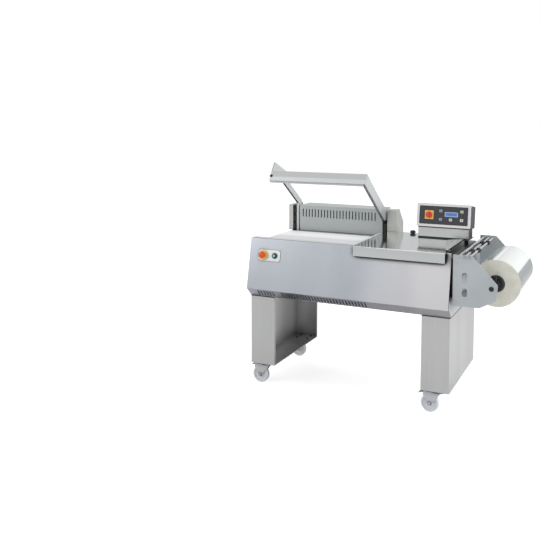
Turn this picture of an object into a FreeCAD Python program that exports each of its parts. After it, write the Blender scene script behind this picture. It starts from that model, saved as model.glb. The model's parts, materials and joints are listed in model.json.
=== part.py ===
import FreeCAD, Part
import math
import os
import re

import Sketcher

# L-bar sealer: a wheeled stainless cabinet with a belt conveyor, a lifting sealing frame,
# a polished product table, a control console and a film reel stand at its right end.
# Everything is drawn in working coordinates: x from the cabinet's left end, y back from the
# fronts of the legs and z up from the floor, all in millimetres. Placements then put the
# origin on the floor in the middle of the footprint.

SIZES = {
    # cabinet
    "body_length": 1207,
    "leg_width": 157,
    "leg_depth": 640,
    "leg_lip": 16,
    "foot_plate": 4,
    "body_bottom": 544,
    "bulge_height": "body_bottom + 51",
    "bulge_out": 55,
    "deck_height": 890,
    "panel_lean": 5.5,
    "panel_run": 2.5,
    "panel_hem": 6,
    "sheet": 2,
    "bend_out": 3,
    "bend_in": 1,
    "seat_gap": 0.3,
    "running_gap": 0.05,
    "overcut": 1,
    "tray_height": "deck_height - 28",
    # louvre slots along the front chamfer
    "louvre_wide": 8,
    "louvre_low": "body_bottom + 8",
    "louvre_high": "bulge_height - 9",
    "louvre_pitch": 19,
    "louvre_first": 66,
    "louvre_few": 6,
    "louvre_second": 222,
    "louvre_many": 28,
    # castors
    "castor_height": 128,
    "castor_inset": 50,
    "castor_trail": 36,
    "castor_plate_long": 100,
    "castor_plate_thick": 4,
    "castor_plate_wide": 84,
    "castor_head": 34,
    "castor_head_thick": 9,
    "castor_bridge": 5,
    "castor_cheek": 3,
    "kingpin_radius": 8,
    "kingpin_nut": 12,
    "kingpin_nut_thick": 5,
    "wheel_radius": 50,
    "wheel_half": 16,
    "wheel_hub": 15,
    "wheel_dish": 6,
    "wheel_rim": 11,
    "wheel_draft": 2.5,
    "tyre_bevel": 4,
    "hub_side_gap": 1.5,
    "axle_radius": 6,
    "axle_head": 9,
    "axle_head_thick": 5,
    "fork_nose": 28,
    "cheek_half": 13,
    "cheek_drop": 3,
    "cheek_toe": 8,
    "cheek_round": 6,
    "pedal_boss": 8,
    "pedal_pin": 3.5,
    "pedal_hub": 6.5,
    "pedal_offset": 28,
    "pedal_drop": 2,
    "pedal_reach": 34,
    "pedal_knee": 20,
    "pedal_thick": 3.5,
    "pedal_half": 13,
    "bolt_head_radius": 7,
    "bolt_head_thick": 5,
    "bolt_radius": 4,
    "bolt_end": 3,
    "bolt_inset": 12,
    # inner beams, belt and conveyor frame
    "beam_wide": 40,
    "front_beam_wide": 60,
    "beam_high": 30,
    "beam_wall": 3,
    "beam_top": "deck_height - 107",
    "front_beam": 12,
    "rail_thick": 3,
    "floor_thick": 3,
    "belt_front": 70,
    "belt_back": "rear_plane - 50",
    "belt_side_gap": 3,
    "belt_thick": 2,
    "belt_overhang": 11,
    "belt_right": "right_arm_left - 7",
    "roller_radius": 22,
    "journal_radius": 8,
    "bed_thick": 3,
    "bed_drop": 0.6,
    "rail_head": 3,
    "rail_foot": 12,
    "apron_start": 58,
    "apron_back": "rear_plane - 2",
    "tongue_grip": 8,
    "floor_end_gap": 4,
    "notch_drop": 8,
    # sealing jaws
    "jaw_front": 12,
    "jaw_back": 58,
    "jaw_top": "deck_height - 1",
    "pad_thick": 3,
    "pad_inset": 4,
    "jaw_wall": 3,
    "side_jaw_left": "right_arm_left - 2.5",
    "side_jaw_right": "right_arm_left + 21",
    "side_jaw_back": "belt_back - 20",
    # sealing frame
    "hinge_back": "leg_depth - 37",
    "hinge_height": "beam_top + 30",
    "open_angle": 35,
    "arm_round_in": 16,
    "arm_round_out": 30,
    "shaft_radius": 15,
    "shaft_overhang": 8,
    "left_arm_left": 30,
    "left_arm_wide": 15,
    "left_arm_low": "bar_low + 80",
    "left_arm_high": 40,
    "right_arm_left": 637,
    "right_arm_wide": 20,
    "arm_leg_deep": 56,
    "arm_gap": 4,
    "bar_front": 15,
    "bar_deep": 22,
    "bar_low": "jaw_top + 15",
    "bar_high": 66,
    "bar_face_low": "bar_low + 26",
    "bar_skirt": 4,
    "gusset_right": 132,
    "gusset_top": "bar_low + 129",
    "gusset_flat": 6,
    "gusset_thick": 3,
    "gusset_round": 4,
    "gusset_slot_left": 56,
    "gusset_slot_long": 16,
    "gusset_slot_low": "bar_low + 86",
    "gusset_slot_high": 5,
    "blade_thick": 2,
    "blade_inset": 6,
    # bearings of the hinge shaft
    "bearing_left": 72,
    "bearing_right": "right_arm_left - 47",
    "bearing_wide": 26,
    "bearing_wall": 12,
    # rear housing and hinge covers
    "rear_plane": "hinge_back - 33",
    "rear_back": "hinge_back + 127",
    "rear_top": "deck_height + 140",
    "housing_left": 56,
    "housing_right": "right_arm_left - 4",
    "slot_first": "housing_left + 24",
    "slot_pitch": 21.9,
    "slot_count": 24,
    "slot_wide": 7,
    "slot_low": "rear_top - 76",
    "slot_high": 52,
    "post_left": 25,
    "post_right": 4,
    "switch_bracket": 3,
    "switch_inset": 6,
    "switch_edge": 5,
    "switch_reach": 18,
    "switch_deep": 42,
    "switch_tall": 36,
    "switch_pitch": 52,
    "cover_left": "right_arm_left + 28",
    "cover_right": "cover_left + 57",
    "shoulder_back": "rear_plane + 74",
    "shoulder_low": "rear_top - 92",
    "cover_gap": 2,
    # product table
    "table_left": "right_arm_left + 23",
    "table_right": "body_length - 29",
    "table_front": 23,
    "table_back": "rear_plane + 20",
    "table_thick": 3,
    "table_bend": 4,
    "ear_front": "neck_front - 12",
    "ear_right": "body_length - 2",
    "lip_high": 55,
    "rib_left": "table_left + 40",
    "rib_wide": 24,
    "rib_back": "table_back - 30",
    "rib_deep": 26,
    "opener_left": "opener_right - 81",
    "opener_left_y": "opener_back - 83",
    "opener_back": "console_front + 10",
    "opener_right": "table_right - 2",
    "opener_front": 40,
    "opener_tip": "opener_right - 10",
    "opener_lift": 6,
    "opener_thick": 2,
    "opener_flat": 12,
    "opener_round": 4,
    "stud_radius": 5,
    "stud_inset": 8,
    "stud_front": 60,
    "stud_back": 20,
    "knob_x": "cover_right + (neck_left - cover_right) * 112 / 178",
    "knob_y": "table_back - 26",
    "knob_radius": 18,
    "knob_stud": 4,
    "knob_stud_long": 14,
    "knob_neck": 12,
    "knob_under": 4,
    "knob_edge": 2,
    "knob_crown": 7,
    "knob_high": 19,
    # control console
    "console_left": "body_length - 311",
    "console_wide": 319,
    "console_front": "leg_depth - 210",
    "console_low": "deck_height + 73",
    "console_high": 138,
    "console_tilt": 8.3,
    "console_deep": 138,
    "console_margin": 3,
    "bezel_thick": 9,
    "bezel_border": 15,
    "bezel_round": 6,
    "window_round": 4,
    "membrane_thick": 5,
    "key_rise": 0.8,
    "key_left": 142,
    "key_middle": 202,
    "key_right": 267,
    "key_low_row": 46,
    "key_top_row": 96,
    "key_wide": 20,
    "key_high": 18,
    "key_round": 2,
    "display_left": 167,
    "display_low": 63,
    "display_wide": 78,
    "display_high": 28,
    "display_thick": 2,
    "switch_x": 74,
    "switch_y": 70,
    "switch_plate": 52,
    "switch_plate_thick": 3,
    "switch_knob_radius": 19,
    "switch_knob_base": 8,
    "switch_grip_wide": 9,
    "switch_grip_half": 18,
    "switch_grip_high": 20,
    "switch_pin": 4,
    "switch_pin_low": 3,
    "neck_left": "console_left + 4",
    "neck_right": "body_length - 4",
    "neck_front": "console_front + 17",
    "neck_back": "neck_front + 105",
    # push buttons on the front panel
    "button_height": "deck_height - 95",
    "stop_x": 92,
    "start_x": "stop_x + 75",
    "button_plate_left": "stop_x - 31",
    "button_plate_right": "start_x + 36",
    "button_plate_half": 33,
    "button_plate_thick": 2,
    "collar_radius": 30,
    "collar_thick": 3,
    "collar_draft": 1.5,
    "stop_radius": 20,
    "stop_cheek": 17,
    "stop_crown": 9,
    "stop_crown_high": 4,
    "stop_dome": 10,
    "stop_skirt": 8,
    "stop_draft": 2,
    "stop_rise": 12,
    "stem_radius": 10,
    "stem_long": 16,
    "start_radius": 13,
    "start_rim": 17,
    "start_rim_rise": 6,
    "start_rise": 5,
    "panel_hole": 13,
    # reel stand
    "mount_deep": 15,
    "mount_front": 12,
    "mount_low": "plate_low + 35",
    "web_thick": 3,
    "web_low": "plate_low + 5",
    "plate_thick": 3,
    "plate_front": 23,
    "plate_back": "leg_depth + 57",
    "plate_high": "deck_height + 2",
    "plate_low": "plate_high - 272",
    "plate_right": "reel_x + 32",
    "plate_elbow": "body_length + 112",
    "plate_chin": "plate_right - 8",
    "plate_toe": "body_length + 154",
    "plate_nose_high": "reel_height + 20",
    "plate_nose_low": "reel_height - 62",
    "plate_round": 14,
    "cut_centre": "body_length + 76",
    "cut_half": 14,
    "cut_round": 12,
    "cut_low": "plate_low + 52",
    "cut_middle": "cut_low + 44",
    "cut_upper": "cut_middle + 29",
    "cut_high": "cut_upper + 55",
    "bridge_high": "plate_high - 26",
    "bridge_right": "body_length + 55",
    "rod_radius": 7,
    "rod_head": 9,
    "rod_x": "body_length + 41",
    "rod_height": "plate_high - 12",
    "needle_x": "body_length + 97",
    "counter_x": "body_length + 73",
    "perforator_height": "plate_high - 12",
    "perforator_radius": 6,
    "needle_wheel": 13,
    "needle_half": 5,
    "needle_tip": 16,
    "needle_wide": 1.6,
    "needle_count": 16,
    "needle_front": 224,
    "needle_back": 496,
    "counter_wheel": 14,
    "counter_long": 32,
    "counter_groove": 10,
    "groove_half": 3,
    "counter_front": 158,
    "counter_back": 440,
    "shaft_head": 7.5,
    "shaft_head_thick": 4,
    "reel_x": "body_length + 215",
    "reel_height": "plate_low + 108",
    "reel_shaft_radius": 11,
    "reel_cap": 13,
    "reel_radius": 127,
    "reel_front": 115,
    "reel_back": "plate_back - 99",
    "core_radius": 39,
    "core_wall": 2.5,
    "cone_taper": 8,
    "cone_large": 46,
    "cone_depth": 34,
    "cone_flange": 12,
    "cone_draft": 6,
    "cone_hub": 22,
    "cone_hub_long": 22,
    "lug_start": 2,
    "lug_radius": 7,
    "lug_high": 34,
    "bolt_in": 14,
    "bolt_down": 42,
    "bolt_up": 24,
    "plate_bolt": 6,
    "plate_bolt_thick": 4,
}

WORD = re.compile(r"[a-z_]+")

# Texts that stand for places which several pieces share
SLOPE = "(panel_lean + bulge_out) / (deck_height - bulge_height)"
FRONT_AT_TRAY = f"(panel_lean - (deck_height - tray_height) * {SLOPE})"
REAR_AT_TRAY = f"(leg_depth - {FRONT_AT_TRAY})"
RIGHT_REACH = "(reel_x + reel_radius)"
CENTRE_X = f"(({RIGHT_REACH} - post_left) / 2)"
CENTRE_Y = "((rear_back - bulge_out) / 2)"
TRAY_TOP = "(tray_height + sheet)"
BELT_TOP = "(tray_height + 1)"
TABLE_TOP = "(deck_height + table_thick)"
JAW_TOP = "(jaw_top + pad_thick)"
BLADE_LOW = f"({JAW_TOP} + seat_gap)"
BAR_TOP = "(bar_low + bar_high)"
BLADE_Y = "(bar_front + bar_deep / 2)"
RIGHT_ARM_RIGHT = "(right_arm_left + right_arm_wide)"
ROLLER_Z = f"({BELT_TOP} - belt_thick - seat_gap - roller_radius)"
BELT_RADIUS = "(roller_radius + seat_gap + belt_thick)"
LEFT_ROLLER_X = f"({BELT_RADIUS} - belt_overhang)"
RIGHT_ROLLER_X = f"(belt_right - {BELT_RADIUS})"
RAIL_FRONT = "(belt_front - belt_side_gap - rail_thick)"
RAIL_BACK = "(belt_back + belt_side_gap)"
FLOOR_TOP = "(beam_top + floor_thick)"
REAR_BEAM = "(hinge_back - beam_wide / 2)"
HEAD_LOW = "(castor_height - castor_plate_thick - castor_head_thick)"
BRIDGE_TOP = f"({HEAD_LOW} - seat_gap)"
BRIDGE_LOW = f"({BRIDGE_TOP} - castor_bridge)"
CHEEK_IN = "(wheel_half + hub_side_gap)"
PEDAL_X = "(castor_trail + pedal_offset)"
PEDAL_Z = f"({BRIDGE_LOW} - pedal_hub - pedal_drop)"
WEB_X = "(body_length + mount_deep)"
CONE_FIT = "(core_radius - core_wall - seat_gap)"


def bind(text):
    """Point every named size in an expression at its cell of the sheet."""
    return WORD.sub(lambda found: "dims." + found[0] if found[0] in SIZES else found[0], text)


def fill_sheet():
    sheet = doc.addObject("Spreadsheet::Sheet", "dims")
    for row, alias in enumerate(SIZES, start=1):
        sheet.set(f"A{row}", alias)
        sheet.setAlias(f"B{row}", alias)
    for row, content in enumerate(SIZES.values(), start=1):
        sheet.set(f"B{row}", f"={content}")


def tie(thing, prop, text):
    thing.setExpression(prop, bind(text))


# Bodies drawn with sketches

def new_body(name):
    body = doc.addObject("PartDesign::Body", name)
    body.Label = name
    return body


def new_sketch(body, role, offset="0"):
    """An empty sketch on one of the body's own origin planes, moved along its normal."""
    plane = next(item for item in body.Origin.OriginFeatures if item.Role == role)
    sketch = body.newObject("Sketcher::SketchObject", "outline")
    sketch.AttachmentSupport = [(plane, "")]
    sketch.MapMode = "FlatFace"
    tie(sketch, "AttachmentOffset.Base.z", offset)
    return sketch


def value(text):
    """What an expression comes to now, so that a sketch starts in its final shape."""
    return float(doc.dims.evalExpression(bind(text)))


def pin_point(sketch, edge, end, place):
    """Fix one point of a sketch at two expressions."""
    for kind, text in zip(("DistanceX", "DistanceY"), place):
        index = sketch.addConstraint(Sketcher.Constraint(kind, -1, 1, edge, end, value(text)))
        tie(sketch, f"Constraints[{index}]", text)


def spot_of(place):
    return FreeCAD.Vector(value(place[0]), value(place[1]), 0)


def tangent_points(before, here, after, radius):
    """Where an arc in a corner meets its two lines, and the arc's centre."""
    back = (before - here).normalize()
    on = (after - here).normalize()
    half = back.getAngle(on) / 2
    reach = radius / math.tan(half)
    centre = here + (back + on).normalize() * (radius / math.sin(half))
    return here + back * reach, here + on * reach, centre


def join_with_arc(sketch, before, after, place, tangents):
    """Round one corner: the corner itself stays as a pinned point that both lines aim at."""
    arrive, leave, centre = tangents
    corner = spot_of(place)
    ends = [(arrive, before, 2), (leave, after, 1)]
    if (corner - arrive).cross(leave - corner).z < 0:
        ends.reverse()
    start, stop = [math.atan2(spot.y - centre.y, spot.x - centre.x) for spot, line, end in ends]
    if stop < start:
        stop += 2 * math.pi
    circle = Part.Circle(centre, FreeCAD.Vector(0, 0, 1), value(place[2]))
    edge = sketch.addGeometry(Part.ArcOfCircle(circle, start, stop), False)
    for arc_end, (spot, line, line_end) in enumerate(ends, start=1):
        sketch.addConstraint(Sketcher.Constraint("Tangent", line, line_end, edge, arc_end))
    index = sketch.addConstraint(Sketcher.Constraint("Radius", edge, value(place[2])))
    tie(sketch, f"Constraints[{index}]", place[2])
    point = sketch.addGeometry(Part.Point(corner), True)
    pin_point(sketch, point, 1, place[:2])
    for line in (before, after):
        sketch.addConstraint(Sketcher.Constraint("PointOnObject", point, 1, line))


def outline(sketch, points):
    """A closed run of straight lines through named places. A third text rounds that corner."""
    count = len(points)
    spots = [spot_of(place) for place in points]
    arrive, leave, rounded = list(spots), list(spots), {}
    for step, place in enumerate(points):
        if len(place) > 2:
            rounded[step] = tangent_points(spots[step - 1], spots[step],
                                           spots[(step + 1) % count], value(place[2]))
            arrive[step], leave[step] = rounded[step][:2]
    first = sketch.GeometryCount
    for step in range(count):
        line = Part.LineSegment(leave[step], arrive[(step + 1) % count])
        sketch.addGeometry(line, False)
    for step, place in enumerate(points):
        before, after = first + (step - 1) % count, first + step
        if step in rounded:
            join_with_arc(sketch, before, after, place, rounded[step])
        else:
            sketch.addConstraint(Sketcher.Constraint("Coincident", before, 2, after, 1))
            pin_point(sketch, after, 1, place)


def ring(sketch, across, up, radius):
    """A circle at a named centre."""
    circle = Part.Circle(spot_of((across, up)), FreeCAD.Vector(0, 0, 1), value(radius))
    edge = sketch.addGeometry(circle, False)
    pin_point(sketch, edge, 3, (across, up))
    index = sketch.addConstraint(Sketcher.Constraint("Radius", edge, value(radius)))
    tie(sketch, f"Constraints[{index}]", radius)


def rectangle(left, right, low, high, radius=None):
    corners = [(left, low), (right, low), (right, high), (left, high)]
    return corners if radius is None else [corner + (radius,) for corner in corners]


def add_pad(body, sketch, length, kind="PartDesign::Pad"):
    feature = body.newObject(kind, "step")
    feature.Profile = sketch
    tie(feature, "Length", length)
    sketch.Visibility = False
    return feature


def pad_outline(body, role, offset, length, points, holes=()):
    """Pad a closed outline, with inner outlines left open."""
    sketch = new_sketch(body, role, offset)
    outline(sketch, points)
    for hole in holes:
        outline(sketch, hole)
    return add_pad(body, sketch, length)


def pocket_through(body, role, draw):
    """Cut whatever draw() puts in the sketch right through the body, both ways."""
    sketch = new_sketch(body, role)
    draw(sketch)
    feature = body.newObject("PartDesign::Pocket", "opening")
    feature.Profile = sketch
    feature.Type = "ThroughAll"
    feature.Midplane = True
    return feature


def pocket_deep(body, role, offset, length, points, against_normal=True):
    """Cut to a depth, along the sketch's normal or against it."""
    sketch = new_sketch(body, role, offset)
    outline(sketch, points)
    feature = add_pad(body, sketch, length, "PartDesign::Pocket")
    feature.Reversed = not against_normal
    return feature


def repeat_along_x(body, feature, pitch, count):
    """Repeat a cut along the machine's length."""
    pattern = body.newObject("PartDesign::LinearPattern", "row")
    pattern.Originals = [feature]
    axis = next(item for item in body.Origin.OriginFeatures if item.Role == "X_Axis")
    pattern.Direction = (axis, [""])
    tie(pattern, "Occurrences", count)
    tie(pattern, "Length", f"{pitch} * ({count} - 1)")
    body.Tip = pattern
    return pattern


def turned(name, points, about="Z"):
    """A revolved body: each point is (distance from the axis, place along the axis)."""
    body = new_body(name)
    sketch = new_sketch(body, "XY_Plane" if about == "Y" else "XZ_Plane")
    outline(sketch, points)
    feature = body.newObject("PartDesign::Revolution", "turn")
    feature.Profile = sketch
    feature.ReferenceAxis = (sketch, ["V_Axis"])
    feature.Angle = 360
    return body


def repeat_around(body, feature, role, count):
    """Repeat a feature in a full circle about one of the body's own axes."""
    pattern = body.newObject("PartDesign::PolarPattern", "circle")
    pattern.Originals = [feature]
    axis = next(item for item in body.Origin.OriginFeatures if item.Role == role)
    pattern.Axis = (axis, [""])
    pattern.Angle = 360
    tie(pattern, "Occurrences", count)
    body.Tip = pattern
    return pattern


def set_at(thing, x, y, z):
    tie(thing, "Placement.Base.x", x)
    tie(thing, "Placement.Base.y", y)
    tie(thing, "Placement.Base.z", z)
    return thing


# Simple solids and what joins them

def block(left, right, front, back, low, high):
    box = doc.addObject("Part::Box", "block")
    tie(box, "Length", f"({right}) - ({left})")
    tie(box, "Width", f"({back}) - ({front})")
    tie(box, "Height", f"({high}) - ({low})")
    return set_at(box, left, front, low)


TURNS = {
    "x": FreeCAD.Rotation(FreeCAD.Vector(0, 1, 0), 90),
    "y": FreeCAD.Rotation(FreeCAD.Vector(1, 0, 0), -90),
    "z": FreeCAD.Rotation(),
}


def rod(along, x, y, z, radius, length, far_radius=None):
    """A cylinder, or a cone with another far radius, that starts at a point."""
    kind = "Part::Cylinder" if far_radius is None else "Part::Cone"
    solid = doc.addObject(kind, "rod")
    if far_radius is None:
        tie(solid, "Radius", radius)
    else:
        tie(solid, "Radius1", radius)
        tie(solid, "Radius2", far_radius)
    tie(solid, "Height", length)
    solid.Placement = FreeCAD.Placement(FreeCAD.Vector(), TURNS[along])
    return set_at(solid, x, y, z)


def hexagon(x, y, z, radius, height):
    """An upright six-sided head or nut."""
    solid = doc.addObject("Part::Prism", "hexagon")
    solid.Polygon = 6
    tie(solid, "Circumradius", radius)
    tie(solid, "Height", height)
    return set_at(solid, x, y, z)


def fuse(pieces):
    joined = doc.addObject("Part::MultiFuse", "joined")
    joined.Shapes = pieces
    return joined


def cut(base, tools):
    trimmed = doc.addObject("Part::Cut", "trimmed")
    trimmed.Base = base
    trimmed.Tool = tools[0] if len(tools) == 1 else fuse(tools)
    return trimmed


def gather(pieces):
    """Several separate solids that share one node."""
    together = doc.addObject("Part::Compound", "set")
    together.Links = pieces
    return together


# How finished nodes are placed

X_BACKWARD = FreeCAD.Vector(-1, 0, 0)
X_FORWARD = FreeCAD.Vector(1, 0, 0)
OPEN_Y = "hinge_back - (hinge_back * cos(open_angle) + hinge_height * sin(open_angle))"
OPEN_Z = "hinge_height - (hinge_height * cos(open_angle) - hinge_back * sin(open_angle))"
POSES = {
    "upright": ("0", "0", "0", X_FORWARD, "0"),
    "frame": ("0", OPEN_Y, OPEN_Z, X_BACKWARD, "open_angle"),
    "buttons": (
        "0",
        f"panel_lean - (deck_height - button_height) * {SLOPE}",
        "button_height",
        X_FORWARD,
        f"90 deg - atan({SLOPE})",
    ),
    "console": ("console_left", "console_front", "console_low", X_FORWARD, "90 - console_tilt"),
}
nodes = {}


def finish(name, thing, pose="upright", at=None):
    """Name a finished node and place it about the middle of the footprint."""
    x, y, z, axis, angle = POSES[pose]
    if at is not None:
        x, y, z = at
    if thing.TypeId == "Part::Box" or thing.TypeId == "Part::Cylinder":
        thing = gather([thing])
    thing.Label = name
    if angle != "0":
        thing.Placement = FreeCAD.Placement(FreeCAD.Vector(), FreeCAD.Rotation(axis, 10))
        tie(thing, "Placement.Rotation.Angle", angle)
    tie(thing, "Placement.Base.x", f"{x} - {CENTRE_X}")
    tie(thing, "Placement.Base.y", f"{y} - {CENTRE_Y}")
    tie(thing, "Placement.Base.z", z)
    nodes[name] = thing


# Legs

def bolt_places(x, y):
    """Where the four bolts of a castor at (x, y) go through its top plate."""
    return [(f"{x} {side} (castor_plate_long / 2 - bolt_inset)",
             f"{y} {end} (castor_plate_wide / 2 - bolt_inset)")
            for side in "-+" for end in "-+"]


def leg(name, web, mouth, inward):
    """A folded channel, open towards the other leg, on a foot plate with bolt holes."""
    body = new_body(name)
    t = f"({inward} * sheet)"
    lip = f"{mouth} - {t}"
    corners = [(web, "0"), (mouth, "0"), (mouth, "leg_depth"), (web, "leg_depth")]
    foot = [corner + ("bend_out",) for corner in corners]
    points = foot[:2] + [
        (mouth, "leg_lip"), (lip, "leg_lip"), (lip, "sheet", "bend_in"),
        (f"{web} + {t}", "sheet", "bend_in"), (f"{web} + {t}", "leg_depth - sheet", "bend_in"),
        (lip, "leg_depth - sheet", "bend_in"), (lip, "leg_depth - leg_lip"),
        (mouth, "leg_depth - leg_lip"),
    ] + foot[2:]
    pad_outline(body, "XY_Plane", "castor_height", "body_bottom - castor_height", points)
    pad_outline(body, "XY_Plane", "castor_height", "foot_plate", foot)

    def bolt_holes(sketch):
        for castor_y in ("castor_inset", "leg_depth - castor_inset"):
            for x, y in bolt_places(f"({web} + {mouth}) / 2", castor_y):
                ring(sketch, x, y, "bolt_radius + running_gap")

    pocket_through(body, "XY_Plane", bolt_holes)
    finish(name, body)


def make_legs():
    leg("left_leg", "0", "leg_width", "1")
    leg("right_leg", "body_length", "body_length - leg_width", "-1")


# Castors

CASTOR_LEFT = "leg_width / 2"
CASTOR_RIGHT = "body_length - leg_width / 2"
CASTORS = {
    "front_left": (CASTOR_LEFT, "castor_inset"),
    "front_right": (CASTOR_RIGHT, "castor_inset"),
    "rear_left": (CASTOR_LEFT, "leg_depth - castor_inset"),
    "rear_right": (CASTOR_RIGHT, "leg_depth - castor_inset"),
}


def castor_top(x, y):
    """Top plate, swivel head, kingpin, and four bolts that hold the plate under the leg."""
    half_x = "castor_plate_long / 2"
    half_y = "castor_plate_wide / 2"
    plate_low = "castor_height - castor_plate_thick"
    pieces = [
        block(f"{x} - {half_x}", f"{x} + {half_x}", f"{y} - {half_y}", f"{y} + {half_y}",
              plate_low, "castor_height"),
        rod("z", x, y, HEAD_LOW, "castor_head", "castor_head_thick"),
        hexagon(x, y, f"{BRIDGE_LOW} - seat_gap - kingpin_nut_thick", "kingpin_nut",
                "kingpin_nut_thick"),
        rod("z", x, y, f"{BRIDGE_LOW} - seat_gap - kingpin_nut_thick", "kingpin_radius",
            f"{HEAD_LOW} - {BRIDGE_LOW} + seat_gap + kingpin_nut_thick"),
    ]
    floor = "(castor_height + foot_plate)"
    for bolt_x, bolt_y in bolt_places(x, y):
        pieces.append(hexagon(bolt_x, bolt_y, f"{plate_low} - bolt_head_thick",
                              "bolt_head_radius", "bolt_head_thick"))
        pieces.append(rod("z", bolt_x, bolt_y, plate_low, "bolt_radius",
                          f"{floor} + bolt_head_thick + bolt_end - ({plate_low})"))
        pieces.append(hexagon(bolt_x, bolt_y, floor, "bolt_head_radius", "bolt_head_thick"))
    return fuse(pieces)


def castor_fork(name, x, y, braked):
    """Bridge, two cheeks, the wheel's axle and, on a braked castor, the pedal's pin."""
    body = new_body(name + "_cheeks")
    cheek_out = f"({CHEEK_IN} + castor_cheek)"
    axle_low = "(wheel_radius - axle_head - castor_cheek)"
    points = [
        ("fork_nose", BRIDGE_TOP), (f"-{PEDAL_X} - pedal_boss", BRIDGE_TOP),
        (f"-{PEDAL_X} - pedal_boss", f"{PEDAL_Z} - pedal_boss"),
        ("-castor_trail - cheek_half", "wheel_radius - cheek_drop", "cheek_round"),
        ("-castor_trail - cheek_toe", axle_low, "cheek_round"),
        ("-castor_trail + cheek_toe", axle_low, "cheek_round"),
        ("-castor_trail + cheek_half", "wheel_radius - cheek_drop", "cheek_round"),
    ]
    for side in (CHEEK_IN, f"-{cheek_out}"):
        pad_outline(body, "XZ_Plane", side, "castor_cheek", points)
    pad_outline(body, "XY_Plane", BRIDGE_LOW, "castor_bridge", [
        ("fork_nose", f"-{cheek_out}"), ("fork_nose", cheek_out),
        ("-castor_head", cheek_out), ("-castor_head", f"-{cheek_out}"),
    ])
    long = f"2 * {cheek_out}"
    head_long = f"2 * ({cheek_out} + axle_head_thick)"
    pieces = [
        body,
        rod("y", "-castor_trail", f"-{cheek_out}", "wheel_radius", "axle_radius", long),
    ]
    for start in (f"-{cheek_out} - axle_head_thick", cheek_out):
        pieces.append(rod("y", "-castor_trail", start, "wheel_radius", "axle_head",
                          "axle_head_thick"))
    if braked:
        pieces.append(rod("y", f"-{PEDAL_X}", f"-{cheek_out}", PEDAL_Z, "pedal_pin", long))
    bore = rod("z", "0", "0", f"{BRIDGE_LOW} - overcut", "kingpin_radius + running_gap",
               "castor_bridge + 2 * overcut")
    finish(name, cut(fuse(pieces), [bore]), at=(x, y, "0"))


def castor_wheel(name, x, y):
    """A nylon wheel: bevelled tyre, dished web and a hub bored for its axle."""
    bore = "axle_radius + running_gap"
    hub_end = "wheel_half + hub_side_gap - seat_gap"
    web = "(wheel_half - wheel_dish)"
    flat = "(wheel_half - tyre_bevel)"
    corner = "(wheel_radius - tyre_bevel)"
    points = [
        (bore, f"-({hub_end})"), ("wheel_hub", f"-({hub_end})"),
        ("wheel_hub + wheel_draft", f"-{web}"),
        ("wheel_radius - wheel_rim - wheel_draft", f"-{web}"),
        ("wheel_radius - wheel_rim", "-wheel_half"),
        (corner, "-wheel_half"), ("wheel_radius", f"-{flat}"), ("wheel_radius", flat),
        (corner, "wheel_half"),
        ("wheel_radius - wheel_rim", "wheel_half"),
        ("wheel_radius - wheel_rim - wheel_draft", web),
        ("wheel_hub + wheel_draft", web), ("wheel_hub", hub_end), (bore, hub_end),
    ]
    finish(name, turned(name, points, "Y"), at=(f"{x} - castor_trail", y, "wheel_radius"))


def brake_pedal(name, x, y):
    """A pressed pedal on its own hub: it dips to lock the wheel."""
    hub = rod("y", "0", "-pedal_half", "0", "pedal_hub", "2 * pedal_half")
    body = new_body(name + "_blade")
    points = [
        ("0", "pedal_hub"), ("-pedal_knee", "pedal_hub"), ("-pedal_reach", "0"),
        ("-pedal_reach", "-pedal_thick"), ("-pedal_knee", "pedal_hub - pedal_thick"),
        ("0", "pedal_hub - pedal_thick"),
    ]
    pad_outline(body, "XZ_Plane", "-pedal_half", "2 * pedal_half", points)
    bore = rod("y", "0", "-pedal_half - overcut", "0", "pedal_pin + running_gap",
               "2 * (pedal_half + overcut)")
    place = (f"{x} - {PEDAL_X}", y, PEDAL_Z)
    finish(name, cut(fuse([hub, body]), [bore]), at=place)


def make_castors():
    finish("castor_plates", gather([castor_top(x, y) for x, y in CASTORS.values()]))
    for corner, (x, y) in CASTORS.items():
        braked = corner.startswith("front")
        castor_fork("castor_fork_" + corner, x, y, braked)
        castor_wheel("castor_wheel_" + corner, x, y)
        if braked:
            brake_pedal("brake_pedal_" + corner, x, y)


# Cabinet

def make_front_panel():
    """Folded front skin: a leaning face, a louvred chamfer under it and a hem on top."""
    body = new_body("front_panel")
    points = [
        ("0", "body_bottom"), ("-bulge_out", "bulge_height", "bend_out"),
        ("panel_lean", "deck_height", "bend_out"), ("panel_lean + panel_hem", "deck_height"),
        ("panel_lean + panel_hem", "deck_height - sheet"),
        (f"panel_lean + panel_run - sheet * {SLOPE}", "deck_height - sheet", "bend_in"),
        ("panel_run - bulge_out", "bulge_height", "bend_in"), ("panel_run", "body_bottom"),
    ]
    pad_outline(body, "YZ_Plane", "0", "body_length", points)
    for first, count in (("louvre_first", "louvre_few"), ("louvre_second", "louvre_many")):
        slot = rectangle(first, f"{first} + louvre_wide", "louvre_low", "louvre_high")
        opening = pocket_through(body, "XZ_Plane", lambda sketch: outline(sketch, slot))
        repeat_along_x(body, opening, "louvre_pitch", count)

    def button_holes(sketch):
        for centre in ("stop_x", "start_x"):
            ring(sketch, centre, "button_height", "panel_hole")

    pocket_through(body, "XZ_Plane", button_holes)
    finish("front_panel", body)


def make_rear_panel():
    body = new_body("rear_panel")
    points = [
        ("leg_depth", "body_bottom"), ("leg_depth + bulge_out", "bulge_height", "bend_out"),
        (REAR_AT_TRAY, "tray_height"), (f"{REAR_AT_TRAY} - panel_run", "tray_height"),
        ("leg_depth + bulge_out - panel_run", "bulge_height", "bend_in"),
        ("leg_depth - panel_run", "body_bottom"),
    ]
    pad_outline(body, "YZ_Plane", "0", "body_length", points)
    finish("rear_panel", body)


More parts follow.
